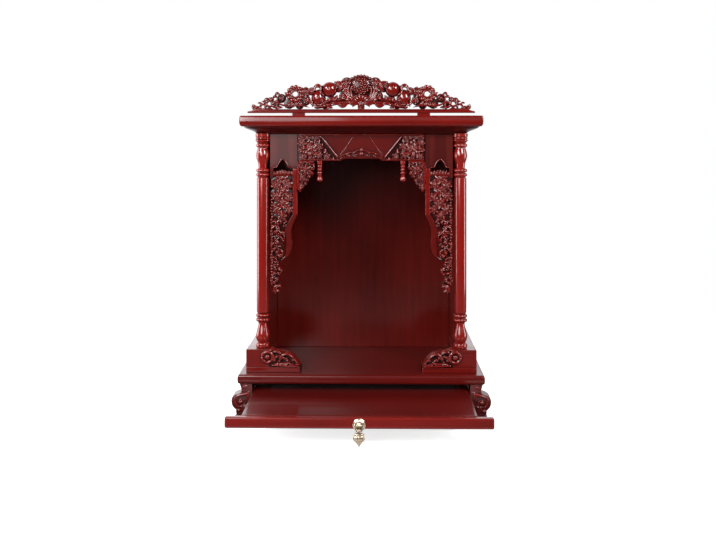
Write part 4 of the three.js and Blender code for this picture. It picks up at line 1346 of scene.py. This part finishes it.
@dataclass
class Pull:
    """The brass pull: a petalled rosette with two ears and a pin, and a bud-shaped drop."""

    palette: Palette
    pin: float = 1.1
    petals: int = 10
    ear: float = 4.0
    eye: float = 2.08

    def rosette(self) -> None:
        """The rosette: rings of petals round a button, drawn as radius and angle on the rail's face."""
        low, high = limits("pull_rosette")
        rail = limits("tray_rail")[0][1]
        middle = (low + high) / 2
        radius = (high[0] - low[0]) / 2
        angle = np.linspace(0, 2 * math.pi, 120, endpoint=False)
        share = np.concatenate([np.linspace(0.03, 1, 40), [1.0]])[:, None]
        swing = np.abs(np.cos(self.petals * angle / 2))
        rim = radius * (0.97 + 0.03 * swing**0.6)
        dome = 4.4 * np.clip(1 - share**1.6, 0, 1)
        button = 1.7 * np.exp(-((share / 0.2) ** 4))
        step = 0.7 * np.exp(-(((share - 0.52) / 0.05) ** 2))
        within = np.clip((share - 0.3) * 4, 0, 1) * np.clip((0.86 - share) * 6, 0, 1)
        valley = 0.9 * np.exp(-((swing / 0.3) ** 2)) * within
        height = np.clip(0.9 + dome + button - step - valley, 0.2, None)
        height[-1] = 0.0
        x = middle[0] + share * rim * np.cos(angle)
        z = middle[2] + share * rim * np.sin(angle)
        solid = Solid()
        solid.rings(np.stack([x, rail - height, z], axis=-1))
        pin_y, pin_z = self.axis()
        for ear in (-self.ear, self.ear):
            solid.board((ear - 0.75, pin_y - 1.9, pin_z - 1.9), (ear + 0.75, rail - 1, pin_z + 2.6), 0.5)
        self.across_pin(solid, self.pin, self.ear + 0.5)
        solid.build("pull_rosette_cast", self.palette.brass, "tray", "pull_rosette")

    def axis(self) -> Pair:
        """Y and Z of the hinge pin, from the joint."""
        joint = next(j for j in frame["joints"] if j["name"] == "drop_swing")
        return (joint["pos_m"][1] - DECK_FRONT) / MM, joint["pos_m"][2] / MM

    def across_pin(self, solid: Solid, radius: float, half: float) -> None:
        """Adds a pin with rounded ends that lies along X through the hinge."""
        y, z = self.axis()
        angle = np.linspace(0, 2 * math.pi, 24, endpoint=False)
        ends = np.array([(-half, 0.6), (-half + 0.3, 0.95), (-half + 0.8, 1),
                         (half - 0.8, 1), (half - 0.3, 0.95), (half, 0.6)])
        x = np.repeat(ends[:, :1], 24, axis=1)
        reach = radius * ends[:, 1:]
        solid.rings(np.stack([x, y + reach * np.cos(angle), z + reach * np.sin(angle)], axis=-1))

    def drop(self) -> None:
        """The drop: an eye round the pin, a collar, and a fluted bud that narrows to a point."""
        low, high = limits("pull_drop")
        y, _ = self.axis()
        tip, width = low[2], (high[0] - low[0]) / 2
        thick = (high[1] - low[1]) / 2 / width
        outline = spline([(0.15, 0), (1.2, 1.4), (3.0, 4), (5.4, 7), (7.6, 9.6), (9.1, 12.2), (9.3, 14.4),
                          (8.4, 16.3), (6.5, 17.6), (6.2, 18.3), (7.6, 19.0), (8.0, 19.9), (6.4, 20.9),
                          (3.6, 21.7), (2.0, 22.6), (1.9, 23.4)], 110)
        angle = np.linspace(0, 2 * math.pi, 98, endpoint=False)
        height = outline[:, 1:]
        fluted = np.clip((17.5 - height) / 2, 0, 1) * np.clip(height / 3, 0, 1)
        row = np.where(height > 10.5 - 2.2 * np.abs(np.cos(3.5 * angle)), 0.0, math.pi / 2)
        radius = outline[:, :1] * (1 - 0.2 * fluted * np.exp(-((np.sin(3.5 * angle + row) / 0.3) ** 2)))
        radius = radius * np.where(row > 0, 0.90, 1.0) * min(1.0, width / outline[:, 0].max())
        solid = Solid()
        solid.rings(np.stack([radius * np.cos(angle), y + radius * np.sin(angle) * thick,
                              np.repeat(tip + height, 98, axis=1)], axis=-1))
        self.hoop(solid)
        solid.build("pull_drop_cast", self.palette.brass, "drop", "pull_drop")

    def hoop(self, solid: Solid) -> None:
        """Adds the eye: an oval section swung once round the pin, closed on itself without end caps."""
        y, z = self.axis()
        turn = np.linspace(0, 2 * math.pi, 33)[:-1, None]
        section = np.linspace(0, 2 * math.pi, 17)[:-1]
        ring = self.eye + 0.6 * np.cos(section)
        points = np.stack(np.broadcast_arrays(2.4 * np.sin(section), y + np.cos(turn) * ring,
                                              z + np.sin(turn) * ring), axis=-1)
        count, around = points.shape[:2]
        here = np.arange(count * around).reshape(count, around)
        beside, ahead = np.roll(here, -1, axis=1), np.roll(here, -1, axis=0)
        quads = np.stack([here, beside, np.roll(ahead, -1, axis=1), ahead], axis=-1).reshape(-1, 4)
        normal = np.cross(points[0, 1] - points[0, 0], points[1, 0] - points[0, 0])
        outward = points[0, 0] - np.array([0.0, y + self.eye, z])
        if np.dot(normal, outward) < 0:
            quads = quads[:, ::-1]
        solid.points.append(points.reshape(-1, 3))
        solid.quads.append(quads + solid.total)
        solid.stain_and_shade_values.append(np.zeros(count * around))
        solid.total += count * around

    def build(self) -> None:
        """Casts the rosette and the drop."""
        self.rosette()
        self.drop()


# --------------------------------------------------------------------------------------- studio


@dataclass(frozen=True)
class Softbox:
    """A rectangular lamp: where it hangs, the point it looks at, its size in metres, its power in watts."""

    name: str
    place: Spot
    aim: Spot
    size: Pair
    power: float

    def hang(self) -> None:
        """Hangs the lamp and turns it to its point."""
        data = bpy.data.lights.new(self.name, "AREA")
        data.shape, data.size, data.size_y, data.energy = "RECTANGLE", *self.size, self.power
        lamp = bpy.data.objects.new(self.name, data)
        back = np.array(self.place, float) - np.array(self.aim, float)
        lamp.location = self.place
        tilt = math.atan2(math.hypot(back[0], back[1]), back[2])
        lamp.rotation_euler = (tilt, 0.0, math.atan2(back[0], -back[1]))
        bpy.context.scene.collection.objects.link(lamp)


@dataclass
class Studio:
    """A pale floor that fades into white, soft boxes at both sides and above, and the camera."""

    lens: float = 50.3
    distance: float = 1.691
    aside: float = 0.029
    eye: float = 0.464
    turn: float = 1.15
    shift: float = -0.1767
    room: float = 0.02
    backdrop: float = 1.1
    floor_glow: float = 0.75
    floor_radius: float = 3.2
    pale_from: float = -0.30
    pale_to: float = -0.12
    pale_fade: float = 16.0
    lamps: tuple[Softbox, ...] = (
        Softbox("key_left", (-1.35, -1.5, 1.4), (0, 0, 0.3), (0.55, 0.7), 38),
        Softbox("key_right", (1.25, -1.6, 1.4), (0, 0, 0.3), (0.55, 0.7), 42),
        Softbox("side_left", (-1.7, -0.1, 0.5), (0, 0, 0.35), (0.5, 1.3), 20),
        Softbox("side_right", (1.7, -0.1, 0.5), (0, 0, 0.35), (0.5, 1.3), 18),
        Softbox("window_low", (-0.305, -1.75, 0.46), (-0.305, 0, 0.46), (0.13, 0.15), 0.12),
        Softbox("window_high", (-0.76, -1.75, 0.94), (-0.5, 0, 0.5), (0.66, 0.80), 18),
        Softbox("window_mid", (-0.27, -1.75, 0.84), (-0.2, 0, 0.5), (0.34, 0.46), 1.8),
        Softbox("window_wide", (0.20, -1.75, 0.86), (0.1, 0, 0.5), (0.60, 0.40), 0.30),
    )

    def camera(self) -> None:
        """Places the camera level with the niche's upper part, a touch right of the middle."""
        data = bpy.data.cameras.new("camera")
        data.lens, data.sensor_width, data.shift_y = self.lens, 36.0, self.shift
        camera = bpy.data.objects.new("camera", data)
        camera.location = (self.aside, DECK_FRONT - self.distance, self.eye)
        camera.rotation_euler = (math.radians(90), 0.0, math.radians(self.turn))
        bpy.context.scene.collection.objects.link(camera)
        bpy.context.scene.camera = camera

    def floor(self) -> None:
        """A round pale floor whose rim fades into white; reflections see only a pale strip at the front."""
        bpy.ops.mesh.primitive_circle_add(vertices=96, radius=self.floor_radius, fill_type="NGON",
                                          location=(0, 0, -0.0004))
        floor = bpy.context.object
        floor.name = "floor"
        material = bpy.data.materials.new("pale_floor")
        material.use_nodes = True
        graph = Graph(material.node_tree)
        where = graph.node("ShaderNodeTexCoord", {}, {}).outputs["Object"]
        length = graph.node("ShaderNodeVectorMath", {"operation": "LENGTH"}, {0: where})
        reach = Signal(graph, length.outputs["Value"])
        speck = graph.noise(where, 14.0, 3.0)
        fade = ((reach - 0.5) * 1.1).clamped()
        tone = graph.blend(speck, (0.80, 0.80, 0.80), (0.86, 0.86, 0.86))
        matt = graph.node("ShaderNodeBsdfPrincipled", {}, {
            "Base Color": tone, "Roughness": 0.6, "Specular IOR Level": 0.2,
            "Emission Color": (1, 1, 1, 1), "Emission Strength": self.floor_glow})
        clear = graph.node("ShaderNodeBsdfTransparent", {}, {})
        along = Signal(graph, graph.node("ShaderNodeSeparateXYZ", {}, {0: where}).outputs["Y"])
        near = (((along - self.pale_from) * self.pale_fade).clamped()
                * ((self.pale_to - along) * self.pale_fade).clamped())
        dim = graph.node("ShaderNodeBsdfPrincipled", {}, {
            "Base Color": graph.blend(near, (0.10, 0.10, 0.10), (0.60, 0.60, 0.60)),
            "Roughness": 1.0, "Specular IOR Level": 0.0})
        path = graph.node("ShaderNodeLightPath", {}, {})
        felt = graph.node("ShaderNodeMixShader", {}, {
            0: path.outputs["Is Camera Ray"], 1: dim.outputs[0], 2: matt.outputs[0]})
        mix = graph.node("ShaderNodeMixShader", {}, {0: fade, 1: felt.outputs[0], 2: clear.outputs[0]})
        graph.node("ShaderNodeOutputMaterial", {}, {"Surface": mix.outputs[0]})
        floor.data.materials.append(material)

    def world(self) -> None:
        """White to look at; to be lit by, a white backdrop behind the cabinet and a dim room before it."""
        world = bpy.data.worlds.new("studio")
        bpy.context.scene.world = world
        world.use_nodes = True
        graph = Graph(world.node_tree)
        where = graph.node("ShaderNodeTexCoord", {}, {}).outputs["Generated"]
        along = graph.node("ShaderNodeSeparateXYZ", {}, {0: where}).outputs["Y"]
        aside = graph.node("ShaderNodeSeparateXYZ", {}, {0: where}).outputs["X"]
        behind = (Signal(graph, along) * 2.0 + 0.3).clamped() * (1.0 - Signal(graph, aside) * 1.2)
        seen = graph.node("ShaderNodeBackground", {}, {"Color": (1, 1, 1, 1), "Strength": 1.0})
        felt = graph.node("ShaderNodeBackground", {}, {
            "Color": (1, 0.97, 1, 1), "Strength": self.room + behind * (self.backdrop - self.room)})
        path = graph.node("ShaderNodeLightPath", {}, {})
        mix = graph.node("ShaderNodeMixShader", {}, {
            0: path.outputs["Is Camera Ray"], 1: felt.outputs[0], 2: seen.outputs[0]})
        graph.node("ShaderNodeOutputWorld", {}, {"Surface": mix.outputs[0]})

    def build(self) -> None:
        """Sets up camera, floor, surroundings and lights."""
        self.camera()
        self.floor()
        self.world()
        for lamp in self.lamps:
            lamp.hang()
        bpy.context.scene.view_settings.view_transform = "Standard"


def main() -> None:
    """Builds the cabinet piece by piece, then the studio."""
    logging.basicConfig(level=logging.INFO, format="%(name)s %(message)s")
    palette = Palette()
    Studio().build()
    for part in (Carcass(palette), Columns(palette), Plinths(palette), Screen(palette), Crest(palette),
                 Feet(palette), Tray(palette), Pull(palette)):
        log.info("building %s", type(part).__name__)
        part.build()


if __name__ == "__main__":
    main()
